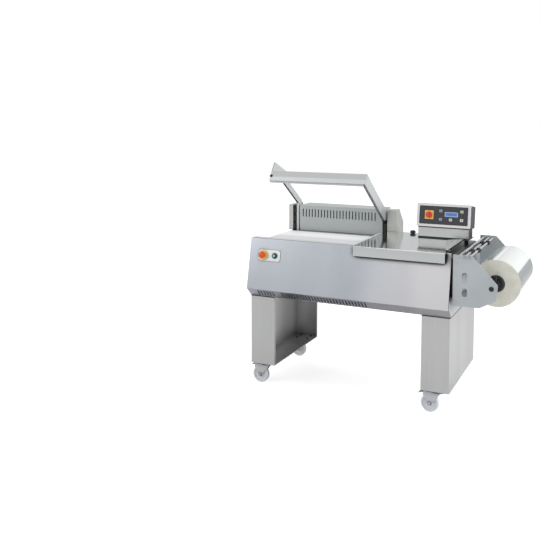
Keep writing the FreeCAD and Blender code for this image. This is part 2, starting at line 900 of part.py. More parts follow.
def end_panel(name, left):
    body = new_body(name)
    points = [
        ("panel_run", "body_bottom"), ("panel_run - bulge_out", "bulge_height", "bend_in"),
        (f"{FRONT_AT_TRAY} + panel_run", "tray_height"),
        (f"{REAR_AT_TRAY} - panel_run", "tray_height"),
        ("leg_depth + bulge_out - panel_run", "bulge_height", "bend_in"),
        ("leg_depth - panel_run", "body_bottom"),
    ]
    pad_outline(body, "YZ_Plane", left, "sheet", points)
    return body


def make_end_panels():
    left = end_panel("left_end_panel", "0")
    notch_low = f"{ROLLER_Z} - {BELT_RADIUS} - notch_drop"
    mouth = rectangle(RAIL_FRONT, "apron_back", notch_low, "tray_height + sheet")
    pocket_through(left, "YZ_Plane", lambda sketch: outline(sketch, mouth))
    finish("left_end_panel", left)
    finish("right_end_panel", end_panel("right_end_panel", "body_length - sheet"))


def make_base_and_top():
    """The cabinet's floor sheet and the shelf that carries the rear covers and the table."""
    finish("base_pan", block("sheet", "body_length - sheet", "panel_run", "leg_depth - panel_run",
                             "body_bottom", "body_bottom + sheet"))
    body = new_body("top_plate")
    notch = "hinge_back + arm_leg_deep / 2 + arm_gap"
    arm_left = "left_arm_left - arm_gap"
    arm_right = "left_arm_left + left_arm_wide + arm_gap"
    front = f"{FRONT_AT_TRAY} + panel_run + sheet * {SLOPE}"
    points = [
        ("-post_left", "rear_plane"), (arm_left, "rear_plane"), (arm_left, notch),
        (arm_right, notch), (arm_right, "rear_plane"), ("housing_right", "rear_plane"),
        ("housing_right", notch), (f"{RIGHT_ARM_RIGHT} + arm_gap", notch),
        (f"{RIGHT_ARM_RIGHT} + arm_gap", front), ("body_length", front),
        ("body_length", REAR_AT_TRAY), ("cover_right", REAR_AT_TRAY), ("cover_right", "rear_back"),
        ("-post_left", "rear_back"),
    ]
    pad_outline(body, "XY_Plane", "tray_height", "sheet", points)
    finish("top_plate", body)


def make_cross_beams():
    """Two square tubes from end to end, which carry the conveyor, the jaws and the hinge."""
    beams = []
    low = "beam_top - beam_high"
    for front, wide in (("front_beam", "front_beam_wide"), (REAR_BEAM, "beam_wide")):
        body = new_body("beam")
        back = f"{front} + {wide}"
        outer = rectangle(front, back, low, "beam_top")
        inner = rectangle(f"{front} + beam_wall", f"{back} - beam_wall", f"{low} + beam_wall",
                          "beam_top - beam_wall")
        pad_outline(body, "YZ_Plane", "sheet", "body_length - 2 * sheet", outer, [inner])
        beams.append(body)
    finish("cross_beams", gather(beams))


# Conveyor

def make_conveyor_frame():
    """Floor plate, two side rails bored for the rollers, the slider bed and the rear apron."""
    rail_top = f"{BELT_TOP} - rail_head"
    floor_right = "side_jaw_left - floor_end_gap"
    bed_top = f"({BELT_TOP} - belt_thick - bed_drop)"
    bed_left = f"{LEFT_ROLLER_X} + roller_radius + rail_foot"
    bed_right = f"{RIGHT_ROLLER_X} - roller_radius - rail_foot"
    rear_rail_back = f"({RAIL_BACK} + rail_thick)"
    pieces = [
        block("rail_foot", floor_right, "jaw_back + jaw_wall", "apron_back", "beam_top",
              FLOOR_TOP),
        block("bearing_left + bearing_wide + jaw_wall", "bearing_right - jaw_wall", "apron_back",
              f"{REAR_BEAM} + tongue_grip", "beam_top", FLOOR_TOP),
        block(bed_left, bed_right, RAIL_FRONT, rear_rail_back, f"{bed_top} - bed_thick", bed_top),
        block("apron_start", floor_right, RAIL_BACK, "apron_back", rail_top,
              f"{rail_top} + sheet"),
    ]
    for front in (RAIL_FRONT, RAIL_BACK):
        pieces.append(block("sheet", floor_right, front, f"{front} + rail_thick", "beam_top",
                            rail_top))
    bores = []
    for x in (LEFT_ROLLER_X, RIGHT_ROLLER_X):
        bores.append(rod("y", x, f"{RAIL_FRONT} - overcut", ROLLER_Z,
                         "journal_radius + running_gap",
                         f"{rear_rail_back} - {RAIL_FRONT} + 2 * overcut"))
    finish("conveyor_frame", cut(fuse(pieces), bores))


def make_belt():
    """An endless white belt round both rollers."""
    body = new_body("conveyor_belt")
    sketch = new_sketch(body, "XZ_Plane", "-belt_back")
    outline(sketch, rectangle(LEFT_ROLLER_X, RIGHT_ROLLER_X, f"{ROLLER_Z} - {BELT_RADIUS}",
                              f"{ROLLER_Z} + {BELT_RADIUS}"))
    add_pad(body, sketch, "belt_back - belt_front")
    for x in (LEFT_ROLLER_X, RIGHT_ROLLER_X):
        end = new_sketch(body, "XZ_Plane", "-belt_back")
        ring(end, x, ROLLER_Z, BELT_RADIUS)
        add_pad(body, end, "belt_back - belt_front")
    inside = f"({BELT_RADIUS} - belt_thick)"

    def hollow(sketch):
        outline(sketch, rectangle(LEFT_ROLLER_X, RIGHT_ROLLER_X, f"{ROLLER_Z} - {inside}",
                                  f"{ROLLER_Z} + {inside}"))

    pocket_through(body, "XZ_Plane", hollow)
    for x in (LEFT_ROLLER_X, RIGHT_ROLLER_X):
        pocket_through(body, "XZ_Plane", lambda sketch: ring(sketch, x, ROLLER_Z, inside))
    finish("conveyor_belt", body)


def roller(name, x):
    """A roller shell with a journal at each end, its origin on the axis."""
    long = "belt_back - belt_front"
    journal = "belt_side_gap + rail_thick"
    points = [
        ("0", f"-({journal})"), ("journal_radius", f"-({journal})"), ("journal_radius", "0"),
        ("roller_radius", "0"), ("roller_radius", long), ("journal_radius", long),
        ("journal_radius", f"{long} + {journal}"), ("0", f"{long} + {journal}"),
    ]
    finish(name, turned(name, points, "Y"), at=(x, "belt_front", ROLLER_Z))


# Jaws

def make_jaws():
    """Inverted channels that stand on the beams and floor, and the strips the blades close on."""
    front = new_body("front_jaw")
    outer = [
        ("jaw_front", "beam_top"), ("jaw_front", "jaw_top"), ("jaw_back", "jaw_top"),
        ("jaw_back", "beam_top"), ("jaw_back - jaw_wall", "beam_top"),
        ("jaw_back - jaw_wall", "jaw_top - jaw_wall"),
        ("jaw_front + jaw_wall", "jaw_top - jaw_wall"), ("jaw_front + jaw_wall", "beam_top"),
    ]
    pad_outline(front, "YZ_Plane", "sheet", f"{RIGHT_ARM_RIGHT} - sheet", outer)
    side = new_body("side_jaw")
    right = "side_jaw_right"
    left = "side_jaw_left"
    points = [
        (left, FLOOR_TOP), (left, "jaw_top"), (right, "jaw_top"), (right, FLOOR_TOP),
        (f"{right} - jaw_wall", FLOOR_TOP), (f"{right} - jaw_wall", "jaw_top - jaw_wall"),
        (f"{left} + jaw_wall", "jaw_top - jaw_wall"), (f"{left} + jaw_wall", FLOOR_TOP),
    ]
    pad_outline(side, "XZ_Plane", "-side_jaw_back", "side_jaw_back - jaw_back", points)
    tongue = block(left, right, "jaw_back", "side_jaw_back", "beam_top", FLOOR_TOP)
    finish("sealing_jaws", gather([front, fuse([side, tongue])]))
    pads = [
        block("pad_inset", f"{RIGHT_ARM_RIGHT} - pad_inset", "jaw_front + pad_inset",
              "jaw_back - pad_inset", "jaw_top", JAW_TOP),
        block(f"{left} + pad_inset", f"{right} - pad_inset", "jaw_back - pad_inset + seat_gap",
              "side_jaw_back - pad_inset", "jaw_top", JAW_TOP),
    ]
    finish("jaw_pads", gather(pads))


# Sealing frame, drawn closed and then lifted about its hinge

def arm(name, left, wide, low, high, front):
    """A flat arm whose rear end bends down to a clamp on the hinge shaft."""
    body = new_body(name + "_plate")
    half = "arm_leg_deep / 2"
    lean_low = f"({low} - hinge_height) * tan(open_angle)"
    lean_high = f"({low} + {high} - hinge_height) * tan(open_angle)"
    points = [
        (front, low),
        (f"hinge_back - {lean_low} - {half} / cos(open_angle)", low, "arm_round_in"),
        (f"hinge_back - {half} * cos(open_angle)", f"hinge_height - {half} * sin(open_angle)"),
        (f"hinge_back + {half} * cos(open_angle)", f"hinge_height + {half} * sin(open_angle)"),
        (f"hinge_back - {lean_high} + {half} / cos(open_angle)", f"{low} + {high}",
         "arm_round_out"),
        (front, f"{low} + {high}"),
    ]
    pad_outline(body, "YZ_Plane", left, wide, points)
    eye = rod("x", left, "hinge_back", "hinge_height", half, wide)
    bore = rod("x", f"{left} - overcut", "hinge_back", "hinge_height",
               "shaft_radius + running_gap", f"{wide} + 2 * overcut")
    finish(name, cut(fuse([body, eye]), [bore]), "frame")


def make_front_bar():
    """The frame's front bar: an upright face over a skirt that slopes in to the blade."""
    body = new_body("frame_front_bar")
    back = "bar_front + bar_deep"
    points = [
        ("bar_front", BAR_TOP), ("bar_front", "bar_face_low"), ("bar_front + bar_skirt", "bar_low"),
        (back, "bar_low"), (back, BAR_TOP),
    ]
    pad_outline(body, "YZ_Plane", "left_arm_left", f"{RIGHT_ARM_RIGHT} - left_arm_left", points)
    finish("frame_front_bar", body, "frame")


def make_gusset():
    """The triangular plate that ties the raised left arm to the front bar."""
    body = new_body("frame_gusset")
    points = [
        ("left_arm_left", BAR_TOP), ("gusset_right", BAR_TOP),
        ("left_arm_left + gusset_flat", "gusset_top", "gusset_round"),
        ("left_arm_left", "gusset_top"),
    ]
    pad_outline(body, "XZ_Plane", "-bar_front - gusset_thick", "gusset_thick", points)
    grip = rectangle("gusset_slot_left", "gusset_slot_left + gusset_slot_long",
                     "gusset_slot_low", "gusset_slot_low + gusset_slot_high")
    pocket_through(body, "XZ_Plane", lambda sketch: outline(sketch, grip))
    finish("frame_gusset", body, "frame")


def make_blades():
    """One blade under the front bar and one under the right arm."""
    half = "blade_thick / 2"
    middle = "(right_arm_left + right_arm_wide / 2)"
    front = block("left_arm_left + blade_inset", f"{RIGHT_ARM_RIGHT} - blade_inset",
                  f"{BLADE_Y} - {half}", f"{BLADE_Y} + {half}", BLADE_LOW, "bar_low")
    side = block(f"{middle} - {half}", f"{middle} + {half}", f"{BLADE_Y} + {half} + seat_gap",
                 "side_jaw_back - blade_inset", BLADE_LOW, "bar_low")
    finish("sealing_blades", gather([front, side]), "frame")


def make_hinge():
    """The shaft that both arms clamp, in two bearing blocks on the rear beam."""
    left = "left_arm_left - shaft_overhang"
    right = f"{RIGHT_ARM_RIGHT} + shaft_overhang"
    shaft = rod("x", left, "hinge_back", "hinge_height", "shaft_radius", f"{right} - {left}")
    finish("hinge_shaft", shaft)
    bearings = []
    reach = "(shaft_radius + bearing_wall)"
    for side in ("bearing_left", "bearing_right"):
        stand = block(side, f"{side} + bearing_wide", f"hinge_back - {reach}",
                      f"hinge_back + {reach}", "beam_top", "hinge_height")
        crown = rod("x", side, "hinge_back", "hinge_height", reach, "bearing_wide")
        bore = rod("x", f"{side} - overcut", "hinge_back", "hinge_height",
                   "shaft_radius + running_gap", "bearing_wide + 2 * overcut")
        bearings.append(cut(fuse([stand, crown]), [bore]))
    finish("hinge_bearings", gather(bearings))


# Rear covers

def make_rear_housing():
    """The slotted cover between the two arms, open underneath."""
    body = new_body("rear_housing")
    left, right = "housing_left", "housing_right"
    pad_outline(body, "XY_Plane", TRAY_TOP, f"rear_top - {TRAY_TOP}",
                rectangle(left, right, "rear_plane", "rear_back"))
    pocket_deep(body, "XY_Plane", TRAY_TOP, f"rear_top - {TRAY_TOP} - sheet",
                rectangle(f"{left} + sheet", f"{right} - sheet", "rear_plane + sheet",
                          "rear_back - sheet"), against_normal=False)
    slot = rectangle("slot_first - slot_wide / 2", "slot_first + slot_wide / 2", "slot_low",
                     "slot_low + slot_high")
    opening = pocket_deep(body, "XZ_Plane", "-rear_plane", "2 * sheet", slot)
    repeat_along_x(body, opening, "slot_pitch", "slot_count")
    finish("rear_housing", body)


def make_hinge_covers():
    left = new_body("left_hinge_cover")
    pad_outline(left, "XY_Plane", TRAY_TOP, f"rear_top - {TRAY_TOP}",
                rectangle("-post_left", "post_right", "rear_plane", "rear_back"))
    pocket_deep(left, "YZ_Plane", "post_right", "post_left + post_right - sheet",
                rectangle("rear_plane + sheet", "rear_back - sheet", f"{TRAY_TOP} + sheet",
                          "rear_top - sheet"))
    finish("left_hinge_cover", left)
    right = new_body("right_hinge_cover")
    foot = "table_back + cover_gap"
    ground = f"{TABLE_TOP} + seat_gap"
    points = [
        ("rear_plane", ground), ("rear_plane", "rear_top"), ("shoulder_back", "rear_top"),
        ("rear_back", "shoulder_low"), ("rear_back", TRAY_TOP), (foot, TRAY_TOP), (foot, ground),
    ]
    pad_outline(right, "YZ_Plane", "cover_left", "cover_right - cover_left", points)
    inner = [
        ("rear_plane + sheet", f"{ground} - overcut"), ("rear_plane + sheet", "rear_top - sheet"),
        ("shoulder_back - sheet / 2", "rear_top - sheet"),
        ("rear_back - sheet", "shoulder_low - sheet / 2"),
        ("rear_back - sheet", f"{TRAY_TOP} - overcut"),
        (f"{foot} + sheet", f"{TRAY_TOP} - overcut"), (f"{foot} + sheet", f"{ground} - overcut"),
    ]
    pocket_deep(right, "YZ_Plane", "cover_right - sheet", "cover_right - cover_left - 2 * sheet",
                inner)
    finish("right_hinge_cover", right)


def make_frame_switches():
    """Three stacked position switches beside the left arm, on an upright bracket."""
    front = "rear_plane + switch_inset"
    plate_right = "(post_right + switch_bracket)"
    bracket = block("post_right", plate_right, front, f"{front} + switch_deep + switch_edge",
                    TRAY_TOP, "rear_top - switch_edge")
    pieces = [bracket]
    for step in range(3):
        low = f"{TRAY_TOP} + switch_edge + {step} * switch_pitch"
        pieces.append(block(plate_right, "post_right + switch_reach", front,
                            f"{front} + switch_deep", low, f"{low} + switch_tall"))
        pieces.append(rod("x", plate_right, f"{front} + switch_deep / 2",
                          f"{low} + switch_tall / 2", "switch_tall / 3", "switch_reach"))
    finish("frame_switches", fuse(pieces))


# Product table and what stands on it

def make_table():
    """A polished plate on three ribs above the top plate: it is folded down into its front
    lip, and runs on to the body's end under the console's column."""
    lip_low = f"{TABLE_TOP} - lip_high"
    lip_back = "table_thick - table_front"
    points = [
        ("-table_front", lip_low), (lip_back, lip_low), (lip_back, "deck_height", "bend_in"),
        ("table_back", "deck_height"), ("table_back", TABLE_TOP),
        ("-table_front", TABLE_TOP, "table_bend"),
    ]
    plate = new_body("folded_plate")
    pad_outline(plate, "YZ_Plane", "table_left", "table_right - table_left", points)
    rib_front = "panel_lean + panel_hem + cover_gap"
    pieces = [
        plate,
        block("table_right", "ear_right", "ear_front", "table_back", "deck_height", TABLE_TOP),
        block("rib_left", "table_right", rib_front, f"{rib_front} + rib_wide", TRAY_TOP,
              "deck_height"),
    ]
    for left in ("rib_left", "table_right - rib_wide"):
        pieces.append(block(left, f"{left} + rib_wide", "rib_back", "rib_back + rib_deep",
                            TRAY_TOP, "deck_height"))
    stud_hole = rod("z", "knob_x", "knob_y", "deck_height - overcut", "knob_stud + running_gap",
                    "table_thick + 2 * overcut")
    finish("product_table", cut(fuse(pieces), [stud_hole]))


def make_film_opener():
    """The thin triangular plate that spreads the folded film over the table."""
    body = new_body("film_opener_plate")
    low = f"({TABLE_TOP} + opener_lift)"
    points = [
        ("opener_left", "opener_left_y", "opener_round"),
        ("opener_tip", "opener_front", "opener_round"), ("opener_right", "opener_front"),
        ("opener_right", "opener_back"), ("opener_right - opener_flat", "opener_back"),
    ]
    pad_outline(body, "XY_Plane", low, "opener_thick", points)
    pieces = [body]
    for x, y in (("opener_right - stud_inset", "opener_front + stud_front"),
                 ("opener_right - stud_inset", "opener_back - stud_back"),
                 ("opener_left + stud_back", "opener_left_y")):
        pieces.append(rod("z", x, y, TABLE_TOP, "stud_radius", "opener_lift"))
    finish("film_opener", fuse(pieces))


def make_knob():
    """The clamp knob at the back of the table, on a stud that passes through the plate."""
    points = [
        ("0", "-knob_stud_long"), ("knob_stud", "-knob_stud_long"), ("knob_stud", "0"),
        ("knob_neck", "0"), ("knob_neck", "knob_under"), ("knob_radius - knob_edge", "knob_under"),
        ("knob_radius", "knob_under + knob_edge"), ("knob_radius", "knob_high - knob_crown"),
        ("knob_radius - knob_crown", "knob_high"), ("0", "knob_high"),
    ]
    place = ("knob_x", "knob_y", f"{TABLE_TOP} + seat_gap")
    finish("clamp_knob", turned("clamp_knob", points), at=place)


# Console, drawn flat: x to the right, y up its face and z out of it

def make_console():
    margin = "console_margin"
    right, top = "console_wide", "console_high"
    housing = new_body("control_housing")
    outer = rectangle(margin, f"{right} - {margin}", margin, f"{top} - {margin}", "bezel_round")
    pad_outline(housing, "XY_Plane", "-console_deep", "console_deep", outer)
    inner = rectangle(f"{margin} + sheet", f"{right} - {margin} - sheet", f"{margin} + sheet",
                      f"{top} - {margin} - sheet", "bezel_round - sheet")
    pocket_deep(housing, "XY_Plane", "0", "console_deep - sheet", inner)
    finish("control_housing", housing, "console")
    bezel = new_body("control_bezel")
    window = rectangle("bezel_border", f"{right} - bezel_border", "bezel_border",
                       f"{top} - bezel_border", "window_round")
    pad_outline(bezel, "XY_Plane", "0", "bezel_thick",
                rectangle("0", right, "0", top, "bezel_round"), [window])
    finish("control_bezel", bezel, "console")
    membrane = new_body("control_membrane")
    pad_outline(membrane, "XY_Plane", "0", "membrane_thick", window)
    screen = rectangle("display_left", "display_left + display_wide", "display_low",
                       "display_low + display_high", "key_round")
    pad_outline(membrane, "XY_Plane", "membrane_thick", "display_thick", screen)
    for column, row in (("key_left", "key_low_row"), ("key_left", "key_top_row"),
                        ("key_middle", "key_low_row"), ("key_right", "key_low_row"),
                        ("key_right", "key_top_row")):
        key = rectangle(f"{column} - key_wide / 2", f"{column} + key_wide / 2",
                        f"{row} - key_high / 2", f"{row} + key_high / 2", "key_round")
        pad_outline(membrane, "XY_Plane", "membrane_thick", "key_rise", key)
    pocket_through(membrane, "XY_Plane",
                   lambda sketch: ring(sketch, "switch_x", "switch_y", "switch_pin + sheet"))
    finish("control_membrane", membrane, "console")


def make_main_switch():
    """A square yellow plate and the red rotary handle on its spindle."""
    half = "switch_plate / 2"
    low = "membrane_thick"
    top = "(membrane_thick + switch_plate_thick)"
    plate = new_body("switch_plate")
    square = rectangle(f"switch_x - {half}", f"switch_x + {half}", f"switch_y - {half}",
                       f"switch_y + {half}", "key_round")
    pad_outline(plate, "XY_Plane", low, "switch_plate_thick", square)
    pocket_through(plate, "XY_Plane",
                   lambda sketch: ring(sketch, "switch_x", "switch_y", "switch_pin + running_gap"))
    finish("switch_plate", plate, "console")
    knob_low = f"{top} + seat_gap"
    base_high = f"{knob_low} + switch_knob_base"
    grip = block("switch_x - switch_grip_wide / 2", "switch_x + switch_grip_wide / 2",
                 "switch_y - switch_grip_half", "switch_y + switch_grip_half",
                 base_high, f"{knob_low} + switch_grip_high")
    base = rod("z", "switch_x", "switch_y", knob_low, "switch_knob_radius", "switch_knob_base")
    spindle = rod("z", "switch_x", "switch_y", "switch_pin_low", "switch_pin",
                  f"{knob_low} - switch_pin_low")
    finish("switch_knob", fuse([base, grip, spindle]), "console")


def make_neck():
    """The folded column between the table and the console, cut to the console's slope."""
    body = new_body("control_neck")
    drop = "tan(console_tilt)"
    start = "console_low + console_margin * cos(console_tilt) - seat_gap"
    front_top = f"{start} - (neck_front - console_front) * {drop}"
    back_top = f"{start} - (neck_back - console_front) * {drop}"
    points = [
        ("neck_front", TABLE_TOP), ("neck_front", front_top), ("neck_back", back_top),
        ("neck_back", TABLE_TOP),
    ]
    pad_outline(body, "YZ_Plane", "neck_left", "neck_right - neck_left", points)
    inside = rectangle("neck_left + sheet", "neck_right - sheet", "neck_front + sheet",
                       "neck_back - sheet")
    pocket_through(body, "XY_Plane", lambda sketch: outline(sketch, inside))
    finish("control_neck", body)


# Push buttons on the front panel, drawn flat like the console

def make_buttons():
    plate = new_body("button_plate")
    half = "button_plate_half"
    pad_outline(plate, "XY_Plane", "0", "button_plate_thick",
                rectangle("button_plate_left", "button_plate_right", f"-{half}", half))

    def stem_holes(sketch):
        for centre in ("stop_x", "start_x"):
            ring(sketch, centre, "0", "stem_radius + running_gap")

    pocket_through(plate, "XY_Plane", stem_holes)
    finish("button_plate", plate, "buttons")
    face = "button_plate_thick"
    ring_top = "(button_plate_thick + collar_thick)"
    under = f"({ring_top} + stop_rise)"
    shoulder = f"{under} + stop_skirt"
    crown = f"{shoulder} + stop_dome"
    mushroom = [
        ("0", "-stem_long"), ("stem_radius", "-stem_long"), ("stem_radius", under),
        ("stop_radius - stop_draft", under), ("stop_radius", f"{under} + stop_draft"),
        ("stop_radius", shoulder), ("stop_cheek", f"{crown} - stop_crown_high"),
        ("stop_crown", crown), ("0", crown),
    ]
    across = POSES["buttons"][1]
    finish("emergency_button", turned("emergency_button", mushroom), "buttons",
           ("stop_x", across, "button_height"))
    stem = "stem_radius + running_gap"
    collar = [
        (stem, face), ("collar_radius", face), ("collar_radius - collar_draft", ring_top),
        (stem, ring_top),
    ]
    bore = "start_radius + running_gap"
    rim_top = f"{face} + start_rim_rise"
    rim = [
        (bore, face), ("start_rim", face), ("start_rim - collar_draft", rim_top), (bore, rim_top),
    ]
    finish("button_collars", gather([
        set_at(turned("stop_collar", collar), "stop_x", "0", "0"),
        set_at(turned("start_rim_ring", rim), "start_x", "0", "0"),
    ]), "buttons")
    cap_low = f"{face} + start_rise"
    cap_top = f"{cap_low} + start_rim_rise"
    push = [
        ("0", "-stem_long"), ("stem_radius", "-stem_long"), ("stem_radius", cap_low),
        ("start_radius", cap_low), ("start_radius", f"{cap_top} - collar_draft"),
        ("start_radius - collar_draft", cap_top), ("0", cap_top),
    ]
    finish("start_button", turned("start_button", push), "buttons",
           ("start_x", across, "button_height"))


# Reel stand

def plate_outline():
    return [
        (WEB_X, "plate_high"), ("plate_elbow", "plate_high", "plate_round"),
        ("plate_right", "plate_nose_high", "plate_round"),
        ("plate_chin", "plate_nose_low", "plate_round"),
        ("plate_toe", "plate_low", "plate_round"), (WEB_X, "plate_low"),
    ]


def reel_plate(name, back, head_front, windows=()):
    """One side plate: bored for the rods and the reel, with upright round-ended windows."""
    body = new_body(name + "_sheet")
    pad_outline(body, "XZ_Plane", f"-{back}", "plate_thick", plate_outline())
    gap = "running_gap"

    def bores(sketch):
        ring(sketch, "rod_x", "rod_height", f"rod_radius + {gap}")
        ring(sketch, "needle_x", "perforator_height", f"perforator_radius + {gap}")
        ring(sketch, "counter_x", "perforator_height", f"perforator_radius + {gap}")
        ring(sketch, "reel_x", "reel_height", f"reel_shaft_radius + {gap}")

    pocket_through(body, "XZ_Plane", bores)
    for low, high in windows:
        window = rectangle("cut_centre - cut_half", "cut_centre + cut_half", low, high, "cut_round")
        pocket_through(body, "XZ_Plane", lambda sketch: outline(sketch, window))
    heads = [rod("y", f"{WEB_X} + bolt_in", head_front, level, "plate_bolt", "plate_bolt_thick")
             for level in ("plate_high - bolt_down", "plate_low + bolt_up")]
    finish(name, fuse([body] + heads))


def make_reel_stand():
    plate_in = "(plate_thick - plate_front)"
    mount = block("body_length", WEB_X, "mount_front", "leg_depth - mount_front", "mount_low",
                  "tray_height")
    finish("reel_mount", mount)
    web = fuse([
        block(WEB_X, f"{WEB_X} + web_thick", plate_in, "plate_back", "web_low",
              "bridge_high"),
        block(WEB_X, "bridge_right", plate_in, "plate_back", "bridge_high",
              "bridge_high + web_thick"),
        block(WEB_X, "bridge_right", plate_in, "plate_back", "web_low",
              "web_low + web_thick"),
    ])
    finish("reel_web", web)
    reel_plate("reel_plate_front", plate_in, "-plate_front - plate_bolt_thick",
               (("cut_low", "cut_middle"), ("cut_upper", "cut_high")))
    reel_plate("reel_plate_back", "(plate_back + plate_thick)", "plate_back + plate_thick")


def stand_shaft(x, z, radius, head):
    """A rod across the stand that turns in both plates, with a head outside each."""
    inner = "seat_gap + plate_front"
    outer = f"{inner} + shaft_head_thick"
    far = "plate_back + plate_thick + seat_gap"
    points = [
        ("0", f"-({outer})"), (head, f"-({outer})"), (head, f"-({inner})"),
        (radius, f"-({inner})"), (radius, far), (head, far), (head, f"{far} + shaft_head_thick"),
        ("0", f"{far} + shaft_head_thick"),
    ]
    return set_at(turned("shaft", points, "Y"), x, "0", z)


def needle_wheel(middle):
    """A disc clamped on the needle shaft, with pointed needles all round its rim."""
    bore = "perforator_radius + running_gap"
    points = [
        (bore, "-needle_half"), ("needle_wheel", "-needle_half"), ("needle_wheel", "needle_half"),
        (bore, "needle_half"),
    ]
    body = turned("needle_wheel", points, "Y")
    root = "(needle_wheel - needle_wide)"
    needle = pad_outline(body, "XZ_Plane", "-needle_wide / 2", "needle_wide", [
        (root, "-needle_wide"), ("needle_tip", "-needle_wide / 8"),
        ("needle_tip", "needle_wide / 8"), (root, "needle_wide"),
    ])
    repeat_around(body, needle, "Y_Axis", "needle_count")
    return set_at(body, "needle_x", middle, "perforator_height")


def counter_wheel(front):
    """A drum clamped on the counter shaft, with a groove that the needles would run in."""
    bore = "perforator_radius + running_gap"
    groove_low = "(counter_long / 2 - groove_half)"
    groove_high = "(counter_long / 2 + groove_half)"
    points = [
        (bore, "0"), ("counter_wheel", "0"), ("counter_wheel", groove_low),
        ("counter_groove", groove_low), ("counter_groove", groove_high),
        ("counter_wheel", groove_high), ("counter_wheel", "counter_long"), (bore, "counter_long"),
    ]
    return set_at(turned("counter_wheel", points, "Y"), "counter_x", front, "perforator_height")


def make_film_guides():
    """The guide rod, and the two shafts whose wheels prick air holes in the film."""
    finish("guide_rod", gather([stand_shaft("rod_x", "rod_height", "rod_radius", "rod_head")]))
    needles = stand_shaft("needle_x", "perforator_height", "perforator_radius", "shaft_head")
    finish("needle_shaft", gather([needles, needle_wheel("needle_front"),
                                   needle_wheel("needle_back")]))
    counters = stand_shaft("counter_x", "perforator_height", "perforator_radius", "shaft_head")
    finish("counter_shaft", gather([counters, counter_wheel("counter_front"),
                                    counter_wheel("counter_back")]))


def cone(mouth, outward):
    """One reel cone: it enters the core's mouth and ends in a flange with a locking lug."""
    narrow = f"({CONE_FIT} - cone_taper)"
    edge = "(cone_large - cone_draft)"
    if outward == "-":
        taper = rod("y", "reel_x", mouth, "reel_height", CONE_FIT, "cone_depth", narrow)
        flange_start = f"({mouth} - seat_gap - cone_flange)"
        flange = rod("y", "reel_x", flange_start, "reel_height", edge, "cone_flange", "cone_large")
        hub_start = f"({flange_start} - cone_hub_long)"
    else:
        taper = rod("y", "reel_x", f"{mouth} - cone_depth", "reel_height", narrow, "cone_depth",
                    CONE_FIT)
        flange_start = f"({mouth} + seat_gap)"
        flange = rod("y", "reel_x", flange_start, "reel_height", "cone_large", "cone_flange", edge)
        hub_start = f"({flange_start} + cone_flange)"
    low_end = f"({hub_start} - cone_flange - seat_gap)" if outward == "+" else hub_start
    hub = rod("y", "reel_x", low_end, "reel_height", "cone_hub",
              "cone_hub_long + cone_flange + seat_gap")
    lug = rod("z", "reel_x", f"{hub_start} + cone_hub_long / 2",
              "reel_height + reel_shaft_radius + lug_start", "lug_radius", "lug_high")
    bore = rod("y", "reel_x", f"{low_end} - cone_depth - overcut", "reel_height",
               "reel_shaft_radius + running_gap",
               "cone_hub_long + cone_flange + seat_gap + 2 * (cone_depth + overcut)")
    return cut(fuse([taper, flange, hub, lug]), [bore])


def make_reel():
    shaft = stand_shaft("reel_x", "reel_height", "reel_shaft_radius", "reel_cap")
    finish("reel_shaft", gather([shaft]))
    finish("reel_cones", gather([cone("reel_front", "-"), cone("reel_back", "+")]))
    long = "(reel_back - reel_front)"
    past = f"{long} + 2 * overcut"
    inside = "core_radius - core_wall"
    film = cut(rod("y", "reel_x", "reel_front", "reel_height", "reel_radius", long),
               [rod("y", "reel_x", "reel_front - overcut", "reel_height", "core_radius", past)])
    core = cut(rod("y", "reel_x", "reel_front", "reel_height", "core_radius", long),
               [rod("y", "reel_x", "reel_front - overcut", "reel_height", inside, past)])
    finish("film_reel", gather([film, core]))


def check_document():
    for item in doc.Objects:
        if "Invalid" in item.State or "Error" in item.State:
            raise RuntimeError(f"{item.Label} did not recompute: {item.State}")
    for name, thing in nodes.items():
        if thing.Shape.isNull() or not thing.Shape.isValid():
            raise RuntimeError(f"{name} has no valid shape")


def write_nodes():
    os.makedirs("parts", exist_ok=True)
    for name, thing in nodes.items():
        thing.Shape.exportStep(f"parts/{name}.step")
        print(name, len(thing.Shape.Solids), round(thing.Shape.Volume))


doc = FreeCAD.newDocument("sealer")
fill_sheet()
doc.recompute()
make_legs()
make_castors()
make_front_panel()
make_rear_panel()
make_end_panels()
make_base_and_top()
make_cross_beams()
make_conveyor_frame()
make_belt()
roller("drive_roller", LEFT_ROLLER_X)
roller("idler_roller", RIGHT_ROLLER_X)
make_jaws()
make_front_bar()
arm("frame_right_arm", "right_arm_left", "right_arm_wide", "bar_low", "bar_high",
    "bar_front + bar_deep")
arm("frame_left_arm", "left_arm_left", "left_arm_wide", "left_arm_low", "left_arm_high",
    "bar_front + gusset_thick")
make_gusset()
make_blades()
make_hinge()
make_rear_housing()
make_hinge_covers()
make_frame_switches()
make_table()
make_film_opener()
make_knob()
make_console()
make_main_switch()
make_neck()
make_buttons()
make_reel_stand()
make_film_guides()
make_reel()
doc.recompute()
check_document()
write_nodes()
print(len(nodes), "nodes")
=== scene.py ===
import json
import math

import bmesh
import bpy
from mathutils import Matrix, Vector


